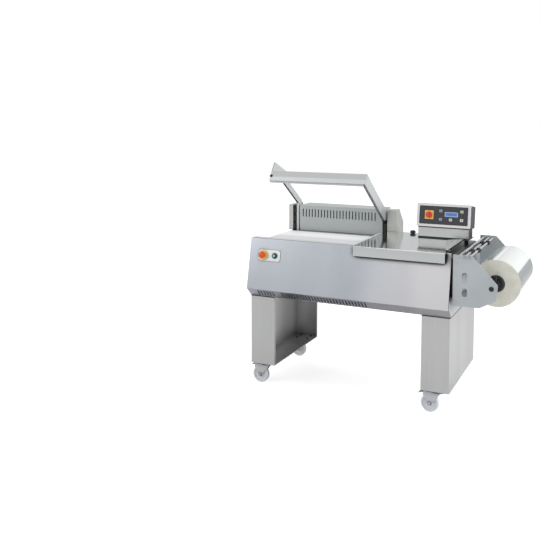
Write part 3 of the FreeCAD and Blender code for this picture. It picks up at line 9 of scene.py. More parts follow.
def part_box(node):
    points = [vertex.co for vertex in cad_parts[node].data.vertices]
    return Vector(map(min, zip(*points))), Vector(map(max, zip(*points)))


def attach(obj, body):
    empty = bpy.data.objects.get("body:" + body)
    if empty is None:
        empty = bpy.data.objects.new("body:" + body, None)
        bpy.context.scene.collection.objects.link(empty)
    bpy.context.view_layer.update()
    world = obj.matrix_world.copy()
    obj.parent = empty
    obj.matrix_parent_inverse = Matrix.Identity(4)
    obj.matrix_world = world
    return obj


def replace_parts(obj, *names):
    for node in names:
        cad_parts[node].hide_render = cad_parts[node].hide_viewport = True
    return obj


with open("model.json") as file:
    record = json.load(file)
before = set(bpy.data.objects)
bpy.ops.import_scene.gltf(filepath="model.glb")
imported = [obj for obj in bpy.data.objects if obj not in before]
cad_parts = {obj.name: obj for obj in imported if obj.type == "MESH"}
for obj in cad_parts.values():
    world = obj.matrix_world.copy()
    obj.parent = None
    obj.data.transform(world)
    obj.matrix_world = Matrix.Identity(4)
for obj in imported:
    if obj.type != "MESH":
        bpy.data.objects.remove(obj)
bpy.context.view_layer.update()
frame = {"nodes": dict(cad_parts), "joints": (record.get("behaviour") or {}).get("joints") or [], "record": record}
MM = 0.001

# Camera, solved from the photograph's straight edges

PHOTO_WIDTH = 540
FOCAL_PIXELS = 710.9
MIDDLE_ACROSS = 302.4
MIDDLE_DOWN = 173.1
SENSOR = 36.0
FAR_CLIP = 50
CAMERA_PLACE = Vector((1.300, -4.0315, 1.584))
CAMERA_YAW = math.radians(25.012)
CAMERA_PITCH = math.radians(4.149)
CAMERA_ROLL = math.radians(0.136)


def make_camera():
    data = bpy.data.cameras.new("camera")
    camera = bpy.data.objects.new("camera", data)
    bpy.context.scene.collection.objects.link(camera)
    data.sensor_width = SENSOR
    data.lens = FOCAL_PIXELS * SENSOR / PHOTO_WIDTH
    data.shift_x = (PHOTO_WIDTH / 2 - MIDDLE_ACROSS) / PHOTO_WIDTH
    data.shift_y = (MIDDLE_DOWN - PHOTO_WIDTH / 2) / PHOTO_WIDTH
    data.clip_end = FAR_CLIP
    turn = Matrix.Rotation(CAMERA_YAW, 4, "Z") @ Matrix.Rotation(math.pi / 2 - CAMERA_PITCH, 4, "X")
    camera.matrix_world = Matrix.Translation(CAMERA_PLACE) @ turn @ Matrix.Rotation(
        CAMERA_ROLL, 4, "Z")
    bpy.context.scene.camera = camera


# Node building

WHITE = (1, 1, 1)
# A noise scale that is the same along each axis
EVEN = (1, 1, 1)
# Noise lies mostly between these values
NOISE_SPAN = (0.25, 0.75)
# From this share of open sky on, a face gets no painted shade
OPEN_SKY = 0.93


def start_material(name):
    material = bpy.data.materials.new(name)
    material.use_nodes = True
    tree = material.node_tree
    return material, tree, tree.nodes["Principled BSDF"]


def set_values(node, **values):
    """Give some of a node's settings or inputs by name."""
    for key, value in values.items():
        if hasattr(node, key):
            setattr(node, key, value)
        else:
            node.inputs[key.replace("_", " ")].default_value = value


def add(tree, kind, **values):
    node = tree.nodes.new(kind)
    set_values(node, **values)
    return node


def grey(level):
    return (level, level, level)


def shade(colour, factor):
    return tuple(min(1.0, part * factor) for part in colour)


def grain(tree, stretch, scale, detail):
    """Noise in metres, pulled out along one axis."""
    coordinates = add(tree, "ShaderNodeTexCoord")
    mapping = add(tree, "ShaderNodeMapping", Scale=stretch)
    tree.links.new(coordinates.outputs["Object"], mapping.inputs["Vector"])
    noise = add(tree, "ShaderNodeTexNoise", Scale=scale, Detail=detail)
    tree.links.new(mapping.outputs["Vector"], noise.inputs["Vector"])
    return noise.outputs["Fac"]


def ramp_between(tree, source, low, high, start=0.3, end=0.7):
    ramp = add(tree, "ShaderNodeValToRGB")
    stops = ramp.color_ramp.elements
    for stop, position, colour in zip(stops, (start, end), (low, high)):
        stop.position = position
        stop.color = (*colour, 1)
    tree.links.new(source, ramp.inputs["Fac"])
    return ramp.outputs["Color"]


def range_between(tree, source, low, high):
    node = add(tree, "ShaderNodeMapRange", From_Min=NOISE_SPAN[0], From_Max=NOISE_SPAN[1],
               To_Min=low, To_Max=high)
    tree.links.new(source, node.inputs["Value"])
    return node.outputs["Result"]


def multiply_colours(tree, first, second):
    mix = add(tree, "ShaderNodeMix", data_type="RGBA", blend_type="MULTIPLY", Factor=1.0)
    tree.links.new(first, mix.inputs["A"])
    tree.links.new(second, mix.inputs["B"])
    return mix.outputs["Result"]


def mix_values(tree, mask, first, second):
    """The first value where the mask is 0 and the second where it is 1."""
    mix = add(tree, "ShaderNodeMix", data_type="FLOAT", A=first, B=second)
    tree.links.new(mask, mix.inputs["Factor"])
    return mix.outputs["Result"]


def mix_colours(tree, mask, first, second):
    """The same for colours, each given as three parts or as a node's output."""
    mix = add(tree, "ShaderNodeMix", data_type="RGBA")
    tree.links.new(mask, mix.inputs["Factor"])
    for name, source in (("A", first), ("B", second)):
        if isinstance(source, tuple):
            mix.inputs[name].default_value = (*source, 1)
        else:
            tree.links.new(source, mix.inputs[name])
    return mix.outputs["Result"]


def paint_corner_shade(tree, colour, deepest, start, reach=0.08):
    """Painted shade: the colour, darker where other faces stand close, as in gaps and under edges."""
    closeness = add(tree, "ShaderNodeAmbientOcclusion", samples=16, Distance=reach)
    return multiply_colours(tree, colour, ramp_between(
        tree, closeness.outputs["AO"], grey(deepest), WHITE, start, OPEN_SKY))


def bump(tree, shader, height, strength, distance, edge=0.0):
    """Raise the surface by a height, and round its edges if an edge radius is given."""
    node = add(tree, "ShaderNodeBump", Strength=strength, Distance=distance)
    tree.links.new(height, node.inputs["Height"])
    if edge:
        softened = add(tree, "ShaderNodeBevel", samples=4, Radius=edge)
        tree.links.new(softened.outputs["Normal"], node.inputs["Normal"])
    tree.links.new(node.outputs["Normal"], shader.inputs["Normal"])


def calculate(tree, operation, *values):
    node = add(tree, "ShaderNodeMath", operation=operation)
    for socket, value in zip(node.inputs, values):
        if isinstance(value, (int, float)):
            socket.default_value = value
        else:
            tree.links.new(value, socket)
    return node.outputs[0]


def more(tree, value, limit):
    return calculate(tree, "GREATER_THAN", value, limit)


def less(tree, value, limit):
    return calculate(tree, "LESS_THAN", value, limit)


def either(tree, first, *others):
    """1 where any of the masks is 1."""
    for mask in others:
        first = calculate(tree, "MAXIMUM", first, mask)
    return first


def parts_of(tree, output):
    coordinates = add(tree, "ShaderNodeTexCoord")
    split = add(tree, "ShaderNodeSeparateXYZ")
    tree.links.new(coordinates.outputs[output], split.inputs[0])
    return split.outputs


def place_parts(tree):
    """The three parts of a point's own place, in metres."""
    return parts_of(tree, "Object")


def facing(tree):
    """The three parts of the way a face looks, which turns with its piece."""
    return parts_of(tree, "Normal")


def from_axis(tree, across, up):
    """How far a point lies from an axis along Y, to the right and up."""
    parts = place_parts(tree)
    return (calculate(tree, "SUBTRACT", parts["X"], across),
            calculate(tree, "SUBTRACT", parts["Z"], up))


def squared(tree, across, up):
    return calculate(tree, "ADD", calculate(tree, "MULTIPLY", across, across),
                     calculate(tree, "MULTIPLY", up, up))


def share_along(tree, node, index):
    """How far along a node's box a point lies on one axis, from 0 to 1."""
    low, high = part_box(node)
    from_low = calculate(tree, "SUBTRACT", place_parts(tree)["XYZ"[index]], low[index])
    return calculate(tree, "DIVIDE", from_low, high[index] - low[index])


def axis_of(joint):
    """Where a joint's axis crosses the XZ plane."""
    place = next(row for row in frame["joints"] if row["name"] == joint)["pos_m"]
    return place[0], place[2]


# Studio

SKY_LOW = (0.70, 0.71, 0.73)
SKY_HIGH = (0.86, 0.86, 0.86)
SKY_SPAN = (0.45, 0.85)
SKY_STRENGTH = 0.88
FLOOR_HALF = 14
FLOOR_DROP = 0.5 * MM
FLOOR_COLOUR = (0.78, 0.78, 0.79)
FLOOR_ROUGHNESS = 0.9
# White that only the camera sees, so that the floor meets the backdrop without a line
FLOOR_LIFT = 0.62
# Each lamp's place, its target, its width and height in metres, and its power in watts
LAMPS = {
    "key": ((-3.4, -3.0, 2.6), (0, 0, 0.8), (2.6, 2.0), 40),
    "side": ((3.4, 0.3, 1.5), (0.4, 0.3, 0.7), (2.2, 1.8), 72),
    "front": ((-0.5, -4.2, 1.6), (0.4, 0, 0.7), (1.6, 1.6), 4),
    "top": ((0, 1.6, 4.2), (0, 0, 0.8), (3.0, 2.0), 30),
}


def make_world():
    """White where the camera looks past the part, and a soft sky that lights it."""
    world = bpy.data.worlds.new("studio")
    bpy.context.scene.world = world
    world.use_nodes = True
    tree = world.node_tree
    tree.nodes.clear()
    path = add(tree, "ShaderNodeLightPath")
    seen = calculate(tree, "MAXIMUM", path.outputs["Is Camera Ray"],
                     path.outputs["Is Transmission Ray"])
    height = add(tree, "ShaderNodeMapRange", From_Min=-1)
    tree.links.new(parts_of(tree, "Generated")["Z"], height.inputs["Value"])
    sky = add(tree, "ShaderNodeBackground", Strength=SKY_STRENGTH)
    tree.links.new(ramp_between(tree, height.outputs["Result"], SKY_LOW, SKY_HIGH, *SKY_SPAN),
                   sky.inputs["Color"])
    white = add(tree, "ShaderNodeBackground", Color=(*WHITE, 1), Strength=1.0)
    mix = add(tree, "ShaderNodeMixShader")
    for socket, source in zip(mix.inputs, (seen, sky.outputs[0], white.outputs[0])):
        tree.links.new(source, socket)
    out = add(tree, "ShaderNodeOutputWorld")
    tree.links.new(mix.outputs[0], out.inputs["Surface"])


def make_lamps():
    for name, (place, target, size, watts) in LAMPS.items():
        data = bpy.data.lights.new(name, "AREA")
        data.shape = "RECTANGLE"
        data.size, data.size_y = size
        data.energy = watts
        lamp = bpy.data.objects.new(name, data)
        bpy.context.scene.collection.objects.link(lamp)
        lamp.location = place
        way = Vector(target) - Vector(place)
        lamp.rotation_euler = way.to_track_quat("-Z", "Y").to_euler()


def floor_material():
    material, tree, shader = start_material("studio_floor")
    set_values(shader, Base_Color=(*FLOOR_COLOUR, 1), Roughness=FLOOR_ROUGHNESS,
               Specular_IOR_Level=0.0, Emission_Color=(*WHITE, 1))
    path = add(tree, "ShaderNodeLightPath")
    lift = calculate(tree, "MULTIPLY", path.outputs["Is Camera Ray"], FLOOR_LIFT)
    tree.links.new(lift, shader.inputs["Emission Strength"])
    return material


def make_floor():
    mesh = bpy.data.meshes.new("studio_floor")
    corners = [(x * FLOOR_HALF, y * FLOOR_HALF, 0) for x, y in ((-1, -1), (1, -1), (1, 1), (-1, 1))]
    mesh.from_pydata(corners, [], [(0, 1, 2, 3)])
    floor = bpy.data.objects.new("studio_floor", mesh)
    bpy.context.scene.collection.objects.link(floor)
    floor.location.z = -FLOOR_DROP
    mesh.materials.append(floor_material())


# Kinds of finish

# Painted shadow lines in the gaps between the panels and the legs
SHADOW_LINE_TONE = (0.03, 0.035, 0.034)
PLATE_TONE = (0.49, 0.525, 0.54)
CORE_TONE = (0.36, 0.26, 0.16)
CORE_RADIUS = 39
# The film's ends between and on their rings, and its roughness on the side and on the ends
FILM_END = ((0.70, 0.68, 0.58), (0.84, 0.83, 0.74))
FILM_ROUGH = (0.16, 0.5)
# Rings on the film's ends, in radians a metre, and how much they count beside its wear
RING_DENSITY = 2400
RING_SHARE = 0.25
# A face whose normal has more than this part along an axis looks that way
SQUARE_ON = 0.7
# The belt fades from grey to white over this stretch of its depth
BELT_FADE = (0.5, 0.68)
# The film's side by angle about the reel's axis: bright, a painted dark reflection, bright, a painted highlight
# streak, painted shade
FILM_TONES_AND_PAINTED_LIGHT = [
    (-12, (0.80, 0.81, 0.82)), (-9, (0.11, 0.135, 0.13)), (29, (0.19, 0.225, 0.22)),
    (32, (0.76, 0.79, 0.76)), (89, (0.74, 0.77, 0.75)), (92, (1.0, 1.0, 1.0)),
    (98, (1.0, 1.0, 1.0)), (101, (0.42, 0.45, 0.44)), (122, (0.62, 0.65, 0.64)),
]


def stretched(along, length, across):
    """A noise scale that is drawn out along one axis."""
    return tuple(length if axis == along else across for axis in "XYZ")


def brushed(name, colour, along="Z", rough=(0.26, 0.40), band=0.06, edge=0.0012, shadow_line=None,
            corners=(0.15, 0.45), sweep=None):
    """Brushed stainless sheet: fine scratches along one axis and broad soft tonal bands, with
    painted shade where other faces stand close, whose depth and start the corners give.
    A mask of painted shadow lines, if given, says where the sheet is dark, and a sweep, if
    given, is a painted slow change of its reflection, put into its colour."""
    material, tree, shader = start_material(name)
    scratches = grain(tree, stretched(along, length=3, across=420), scale=1.0, detail=4.0)
    bands = grain(tree, stretched(along, length=0.3, across=3.2), scale=1.3, detail=1.5)
    tone = ramp_between(tree, bands, shade(colour, 1 - band), shade(colour, 1 + band))
    streak = ramp_between(tree, scratches, grey(0.93), WHITE)
    base = paint_corner_shade(tree, multiply_colours(tree, tone, streak), *corners)
    if sweep:
        base = multiply_colours(tree, base, sweep(tree))
    if shadow_line:
        base = mix_colours(tree, shadow_line(tree), base, SHADOW_LINE_TONE)
    tree.links.new(base, shader.inputs["Base Color"])
    set_values(shader, Metallic=1.0)
    tree.links.new(range_between(tree, scratches, *rough), shader.inputs["Roughness"])
    bump(tree, shader, scratches, strength=0.10, distance=0.00015, edge=edge)
    return material


def polished(name, colour, rough=(0.07, 0.12)):
    """Mirror-polished stainless with a faint haze of fine wiping marks."""
    material, tree, shader = start_material(name)
    marks = grain(tree, stretched("X", length=6, across=60), scale=2.0, detail=4.0)
    tree.links.new(ramp_between(tree, marks, shade(colour, 0.97), colour),
                   shader.inputs["Base Color"])
    set_values(shader, Metallic=1.0)
    tree.links.new(range_between(tree, marks, *rough), shader.inputs["Roughness"])
    bump(tree, shader, marks, strength=0.02, distance=0.0002, edge=0.0008)
    return material


def coated(name, colour, rough=0.42, peel=0.05, metallic=0.0, edge=0.0012):
    """Powder coat or moulded plastic: fine orange peel and slight colour drift."""
    material, tree, shader = start_material(name)
    fine = grain(tree, EVEN, scale=900, detail=2.0)
    broad = grain(tree, EVEN, scale=7, detail=2.0)
    tree.links.new(ramp_between(tree, broad, shade(colour, 0.94), shade(colour, 1.04)),
                   shader.inputs["Base Color"])
    tree.links.new(range_between(tree, broad, rough - 0.05, rough + 0.06),
                   shader.inputs["Roughness"])
    set_values(shader, Metallic=metallic)
    bump(tree, shader, fine, strength=peel, distance=0.0004, edge=edge)
    return material


def two_tone(name, inner, outer, mask_of, rough=(0.35, 0.35), metallic=(0.0, 0.0), heads=None):
    """One node in two finishes: inner where the mask is 0 and outer where it is 1.
    The heads, if given, are a mask of what has the reel plates' paint."""
    material, tree, shader = start_material(name)
    fine = grain(tree, EVEN, scale=700, detail=2.0)
    mask = mask_of(tree)
    drift = ramp_between(tree, fine, grey(0.94), WHITE)
    base = mix_colours(tree, mask, inner, outer)
    if heads:
        base = mix_colours(tree, heads(tree), base, PLATE_TONE)
    tree.links.new(multiply_colours(tree, base, drift), shader.inputs["Base Color"])
    tree.links.new(mix_values(tree, mask, *rough), shader.inputs["Roughness"])
    tree.links.new(mix_values(tree, mask, *metallic), shader.inputs["Metallic"])
    bump(tree, shader, fine, strength=0.04, distance=0.0003, edge=0.0006)
    return material


def film_side(tree, across, up):
    """The film's side: its tone by the angle about the reel's axis, with its painted highlight, reflection and
    shade.
    """
    turn = calculate(tree, "DIVIDE", calculate(tree, "ARCTAN2", up, across), 2 * math.pi)
    ramp = add(tree, "ShaderNodeValToRGB")
    stops = ramp.color_ramp.elements
    for index, (degrees, tone) in enumerate(FILM_TONES_AND_PAINTED_LIGHT):
        stop = stops[index] if index < len(stops) else stops.new(1.0)
        stop.position = degrees / 360 + 0.5
        stop.color = (*tone, 1)
    tree.links.new(calculate(tree, "ADD", turn, 0.5), ramp.inputs["Fac"])
    return ramp.outputs["Color"]


def film_winding(name):
    """Clear film on its core: creamy ends with fine rings, and a bright side with a painted
    highlight streak on top and a painted dark reflection on the right."""
    material, tree, shader = start_material(name)
    across, up = from_axis(tree, *axis_of("film_spool_spin"))
    radius = calculate(tree, "SQRT", squared(tree, across, up))
    rings = calculate(tree, "SINE", calculate(tree, "MULTIPLY", radius, RING_DENSITY))
    wear = grain(tree, stretched("Y", length=0.2, across=1), scale=30, detail=4.0)
    ring_tone = calculate(tree, "ADD", calculate(tree, "MULTIPLY", rings, RING_SHARE), wear)
    film_end = ramp_between(tree, ring_tone, *FILM_END, start=0.2, end=0.8)
    end = mix_colours(tree, less(tree, radius, CORE_RADIUS * MM), film_end, CORE_TONE)
    is_end = more(tree, calculate(tree, "ABSOLUTE", facing(tree)["Y"]), SQUARE_ON)
    tree.links.new(mix_colours(tree, is_end, film_side(tree, across, up), end),
                   shader.inputs["Base Color"])
    tree.links.new(mix_values(tree, is_end, *FILM_ROUGH), shader.inputs["Roughness"])
    set_values(shader, Coat_Weight=0.5, Coat_Roughness=0.12)
    bump(tree, shader, ring_tone, strength=0.10, distance=0.0006)
    return material


def belt_greyer_in_front(name, near, far):
    """Fabric belt, greyer over the stretch next to the front jaw."""
    material, tree, shader = start_material(name)
    weave = grain(tree, EVEN, scale=900, detail=2.0)
    drift = ramp_between(tree, weave, grey(0.96), WHITE)
    tone = ramp_between(tree, share_along(tree, "conveyor_belt", 1), near, far, *BELT_FADE)
    tree.links.new(multiply_colours(tree, tone, drift), shader.inputs["Base Color"])
    set_values(shader, Roughness=0.55)
    bump(tree, shader, weave, strength=0.12, distance=0.0004)
    return material


def display_glass(name):
    """A lit blue display with rows of small dark cells."""
    material, tree, shader = start_material(name)
    coordinates = add(tree, "ShaderNodeTexCoord")
    turn = add(tree, "ShaderNodeMapping", Rotation=(math.pi / 2, 0, 0))
    tree.links.new(coordinates.outputs["Object"], turn.inputs["Vector"])
    cells = add(tree, "ShaderNodeTexBrick", offset=0, Scale=1.0, Mortar_Size=0.0012,
                Brick_Width=0.006, Row_Height=0.009, Color1=(0.01, 0.03, 0.16, 1),
                Color2=(0.05, 0.11, 0.36, 1), Mortar=(0.10, 0.20, 0.52, 1))
    tree.links.new(turn.outputs["Vector"], cells.inputs["Vector"])
    for socket in ("Base Color", "Emission Color"):
        tree.links.new(cells.outputs["Color"], shader.inputs[socket])
    set_values(shader, Emission_Strength=0.35, Roughness=0.15)
    return material


# Finishes by material slot

BLACK = (0.012, 0.013, 0.014)
CHROME = (0.82, 0.82, 0.83)
PANEL_TONE = (0.58, 0.59, 0.62)
LEG_TONE = (0.60, 0.60, 0.595)
LEG_ROUGH = (0.30, 0.45)

MATERIALS = {
    "cabinet_steel": lambda n: brushed(n, PANEL_TONE),
    "leg_steel": lambda n: brushed(n, LEG_TONE, rough=LEG_ROUGH),
    "inner_steel": lambda n: coated(n, (0.26, 0.27, 0.28)),
    "cover_paint": lambda n: brushed(n, (0.62, 0.63, 0.59), rough=(0.34, 0.5), corners=(0.7, 0.4)),
    "table_steel": lambda n: polished(n, (0.74, 0.76, 0.75)),
    "jaw_alu": lambda n: brushed(n, (0.50, 0.51, 0.53), "X", rough=(0.34, 0.5)),
    "jaw_silicone": lambda n: coated(n, (0.63, 0.64, 0.65), rough=0.5),
    "belt": lambda n: belt_greyer_in_front(n, (0.74, 0.75, 0.77), (0.99, 1.0, 1.0)),
    "roller_steel": lambda n: brushed(n, (0.55, 0.56, 0.57), "Y"),
    "zinc": lambda n: brushed(n, (0.66, 0.67, 0.70), rough=(0.28, 0.42)),
    "nylon": lambda n: coated(n, (0.72, 0.74, 0.78), rough=0.30),
    "black_plastic": lambda n: coated(n, BLACK, rough=0.38, peel=0.1),
    "console_paint": lambda n: coated(n, (0.028, 0.034, 0.029), rough=0.5),
    "bezel_steel": lambda n: coated(n, (0.72, 0.69, 0.70), rough=0.25, peel=0.02, metallic=0.55,
                                    edge=0.0016),
    "membrane": lambda n: coated(n, (0.045, 0.047, 0.055)),
    "yellow_plastic": lambda n: coated(n, (0.88, 0.60, 0.14), rough=0.38),
    "red_plastic": lambda n: coated(n, (0.78, 0.06, 0.02), rough=0.28),
    "green_plastic": lambda n: coated(n, (0.01, 0.11, 0.09), rough=0.3),
    "button_plate_paint": lambda n: brushed(n, (0.72, 0.73, 0.74), "X", rough=(0.3, 0.45)),
    "chrome_rod": lambda n: brushed(n, CHROME, "Y", rough=(0.08, 0.18), band=0.02),
    "reel_plate_paint": lambda n: coated(n, PLATE_TONE, metallic=0.35),
    "mount_black": lambda n: coated(n, (0.022, 0.026, 0.026), rough=0.4),
    "opener_steel": lambda n: brushed(n, (0.80, 0.81, 0.80), "X", rough=(0.3, 0.45)),
    "switch_grey": lambda n: coated(n, (0.012, 0.013, 0.015), rough=0.4),
}

# Masks of where a node has its second finish, with lengths in millimetres

# Painted shadow lines at the top and the foot of the console's column, which leans with the console
NECK_TOP_SHADOW = 9
NECK_FOOT_SHADOW = 8
CONSOLE_TILT = math.radians(8.3)
# Painted shadow lines on the legs under the panels and behind the front skin, and painted shade on the right arm's
# foot
LEG_SHADOW_LINE = 5
SKIN_SHADOW_LINE = 15
ARM_FOOT = 965
# The front skin's lean from its fold up, across and high, and how far the fold stands out
LEAN_RUN = (60.5, 295)
BULGE = 55
# The front bar's skirt faces further forward than this, and the left arm's underside down
SKIRT_FACING = -0.86
UNDERSIDE_FACING = -0.5
# The gusset's folded left edge, the side blade at the blades' right end, the web's dark top
# edge and the rear housing's sheet
GUSSET_FOLD = 4
SIDE_BLADE = 6
WEB_EDGE = 4
HOUSING_WALL = 2
# Inside this radius a shaft is bare
SHAFT_EDGE = 6.3
# Painted reflection: the front skin's tone where it mirrors less of the room, and the share of its length over
# which it fades
SKIN_SHADE = (0.823, 0.869, 0.921)
SKIN_FADE = (0.53, 0.87)


def wheels_on(joint):
    """A mask of what stands out from a turning shaft."""
    def mask(tree):
        from_shaft = squared(tree, *from_axis(tree, *axis_of(joint)))
        return more(tree, from_shaft, (SHAFT_EDGE * MM) ** 2)
    return mask


def outside_plates(tree):
    """What stands outside the reel's two plates."""
    along = place_parts(tree)["Y"]
    return either(tree, less(tree, along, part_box("reel_plate_front")[0].y),
                  more(tree, along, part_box("reel_plate_back")[1].y))


def start_collar(tree):
    """The collar on the start button's side."""
    between = (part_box("emergency_button")[1].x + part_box("start_button")[0].x) / 2
    return more(tree, place_parts(tree)["X"], between)


def neck_shadow_lines(tree):
    """Painted shadow lines at both ends of the console's column, and its dark sides and back."""
    parts = place_parts(tree)
    low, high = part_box("control_neck")
    drop = calculate(tree, "MULTIPLY", calculate(tree, "SUBTRACT", parts["Y"], low.y),
                     math.tan(CONSOLE_TILT))
    way = facing(tree)
    return either(tree, more(tree, calculate(tree, "ADD", parts["Z"], drop), high.z - NECK_TOP_SHADOW * MM),
                  less(tree, parts["Z"], low.z + NECK_FOOT_SHADOW * MM),
                  more(tree, calculate(tree, "ABSOLUTE", way["X"]), SQUARE_ON),
                  more(tree, way["Y"], SQUARE_ON))


def under_panels(tree):
    """A painted shadow line over the legs, in the gap where the panels stand on them."""
    return more(tree, place_parts(tree)["Z"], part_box("right_leg")[1].z - LEG_SHADOW_LINE * MM)


def behind_skin(tree):
    """A painted shadow line down the front edge of an end panel, along the front skin's fold."""
    parts = place_parts(tree)
    low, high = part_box("front_panel")
    fold = high.z - LEAN_RUN[1] * MM
    over = calculate(tree, "MULTIPLY", calculate(tree, "SUBTRACT", parts["Z"], fold),
                     LEAN_RUN[0] / LEAN_RUN[1])
    under = calculate(tree, "MULTIPLY", calculate(tree, "SUBTRACT", fold, parts["Z"]),
                      BULGE * MM / (fold - low.z))
    front = calculate(tree, "ADD", calculate(tree, "MAXIMUM", over, under), low.y)
    return less(tree, calculate(tree, "SUBTRACT", parts["Y"], front), SKIN_SHADOW_LINE * MM)


def inside_housing(tree):
    """The faces that lie further inside the rear housing's box than its wall."""
    parts = place_parts(tree)
    low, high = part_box("rear_housing")
    within = []
    for index, axis in enumerate("XYZ"):
        offset = calculate(tree, "ABSOLUTE", calculate(
            tree, "SUBTRACT", parts[axis], (low[index] + high[index]) / 2))
        within.append(less(tree, offset, (high[index] - low[index]) / 2 - HOUSING_WALL * MM))
    return calculate(tree, "MINIMUM", calculate(tree, "MINIMUM", *within[:2]), within[2])


def arm_foot(tree):
    return less(tree, place_parts(tree)["Z"], ARM_FOOT * MM)


def bar_skirt(tree):
    return less(tree, facing(tree)["Y"], SKIRT_FACING)


def underside(tree):
    return less(tree, facing(tree)["Z"], UNDERSIDE_FACING)


def gusset_fold(tree):
    return less(tree, place_parts(tree)["X"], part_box("frame_gusset")[0].x + GUSSET_FOLD * MM)


def side_blade(tree):
    return more(tree, place_parts(tree)["X"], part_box("sealing_blades")[1].x - SIDE_BLADE * MM)


def web_edge(tree):
    return more(tree, place_parts(tree)["Z"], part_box("reel_web")[1].z - WEB_EDGE * MM)


def brighter_right(tree):
    """Painted reflection: the front skin goes slowly from bluish on the left, where it mirrors less of the room,
    to its own tone on the right.
    """
    return ramp_between(tree, share_along(tree, "front_panel", 0), SKIN_SHADE, WHITE, *SKIN_FADE)


# Finishes of the nodes that need more than their slot's

FRAME_TONE = (0.65, 0.67, 0.67)
FRAME_METAL = 0.35
# Bare metal and paint or plastic on it, as pairs of roughness and of metal
ROD_ROUGH = (0.12, 0.42)
METAL_THEN_NOT = (1.0, 0.0)


def wheel_shaft(name):
    """A chrome shaft with black wheels, and heads in the reel plates' paint."""
    return two_tone(name, CHROME, BLACK, wheels_on(name + "_spin"), rough=ROD_ROUGH,
                    metallic=METAL_THEN_NOT, heads=outside_plates)


def frame_piece(name, inner, outer, mask_of):
    """A piece of the sealing frame with a dull dark patch."""
    return two_tone(name, inner, outer, mask_of, rough=(0.36, 0.5), metallic=(FRAME_METAL, 0.0))


OWN_FINISHES = {
    "needle_shaft": lambda: wheel_shaft("needle_shaft"),
    "counter_shaft": lambda: wheel_shaft("counter_shaft"),
    "film_reel": lambda: film_winding("film_winding"),
    "button_collars": lambda: two_tone("button_collars", (0.90, 0.60, 0.10), (0.01, 0.07, 0.06),
                                       start_collar),
    "guide_rod": lambda: two_tone("guide_rod", CHROME, PLATE_TONE, outside_plates,
                                  rough=ROD_ROUGH, metallic=(1.0, 0.3)),
    "castor_plates": lambda: coated("castor_plates", (0.06, 0.065, 0.07), rough=0.45),
    # Painted shadow under the table's lip, from deep corner shade, and a painted reflection across the skin
    "front_panel": lambda: brushed("front_skin", (0.632, 0.625, 0.635), corners=(0.08, 0.68),
                                   sweep=brighter_right),
    "left_leg right_leg": lambda: brushed("leg_under_panels", LEG_TONE, rough=LEG_ROUGH,
                                          shadow_line=under_panels, corners=(0.6, 0.3)),
    "left_end_panel right_end_panel": lambda: brushed("end_panel_steel", PANEL_TONE,
                                                      shadow_line=behind_skin),
    # Painted shade: the shelf under the table is given a dark tone, as it lies in shade
    "top_plate": lambda: brushed("shelf_in_painted_shade", (0.25, 0.26, 0.27), "X"),
    # Painted light: the housing's inside is near white, so that its slots look pale
    "rear_housing": lambda: two_tone("housing_lit_inside", (0.50, 0.525, 0.525),
                                     (0.85, 0.86, 0.85), inside_housing, rough=(0.4, 0.6),
                                     metallic=(0.4, 0.0)),
    # Painted shade on the right arm's foot, where it goes down into the gap at the hinge
    "frame_right_arm": lambda: frame_piece("right_arm", FRAME_TONE, BLACK, arm_foot),
    "frame_left_arm": lambda: frame_piece("left_arm", FRAME_TONE, grey(0.06), underside),
    "frame_gusset": lambda: frame_piece("gusset", (0.68, 0.70, 0.69), grey(0.22), gusset_fold),
    # Painted highlight: the bar's skirt, which faces further forward, is lighter than its face
    "frame_front_bar": lambda: two_tone("front_bar", (0.585, 0.60, 0.60), (0.70, 0.72, 0.72),
                                        bar_skirt, rough=(0.36, 0.36),
                                        metallic=(FRAME_METAL, FRAME_METAL)),
    "sealing_blades": lambda: two_tone("blades", (0.62, 0.63, 0.64), grey(0.20), side_blade,
                                       metallic=(0.8, 0.8)),
    "reel_web": lambda: two_tone("web_steel", (0.66, 0.70, 0.69), (0.30, 0.33, 0.32), web_edge,
                                 rough=(0.3, 0.4), metallic=(0.55, 0.4)),
    "control_neck": lambda: two_tone("neck_steel", (0.62, 0.63, 0.62), (0.02, 0.024, 0.022),
                                     neck_shadow_lines, rough=(0.36, 0.5), metallic=METAL_THEN_NOT),
    "reel_shaft": lambda: two_tone("reel_shaft", CHROME, BLACK, outside_plates, rough=ROD_ROUGH,
                                   metallic=METAL_THEN_NOT),
}


def dress_nodes():
    """Give every node its material, and return those of the slots."""
    made = {name: build(name) for name, build in MATERIALS.items()}
    own = {}
    for nodes, build in OWN_FINISHES.items():
        own.update(dict.fromkeys(nodes.split(), build()))
    for row in frame["record"]["subparts"]:
        node = row["node"]
        mesh = frame["nodes"][node].data
        mesh.materials.clear()
        mesh.materials.append(own[node] if node in own else made[row["material_slot"]])
    return made


# New pieces: each is built in millimetres on its own plane and then set in place

# A profile point that is nearer to the axis than this is a single point
ON_AXIS = 1e-6
SHARP_ANGLE = math.radians(50)


def settle(name, work, place, material, body, smooth=False):
    """Turn a finished mesh into a piece that rides on a body."""
    work.transform(place @ Matrix.Scale(MM, 4))
    bmesh.ops.recalc_face_normals(work, faces=work.faces)
    mesh = bpy.data.meshes.new(name)
    work.to_mesh(mesh)
    work.free()
    mesh.materials.append(material)
    for face in mesh.polygons:
        face.use_smooth = smooth
    piece = bpy.data.objects.new(name, mesh)
    bpy.context.scene.collection.objects.link(piece)
    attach(piece, body)
    return piece


def raise_plate(work, points, low, high):
    """A closed plate of any outline, from one height to another."""
    foot, top = [[work.verts.new((x, y, height)) for x, y in points] for height in (low, high)]
    work.faces.new(foot)
    work.faces.new(top)
    for index in range(len(points)):
        work.faces.new((foot[index - 1], foot[index], top[index], top[index - 1]))


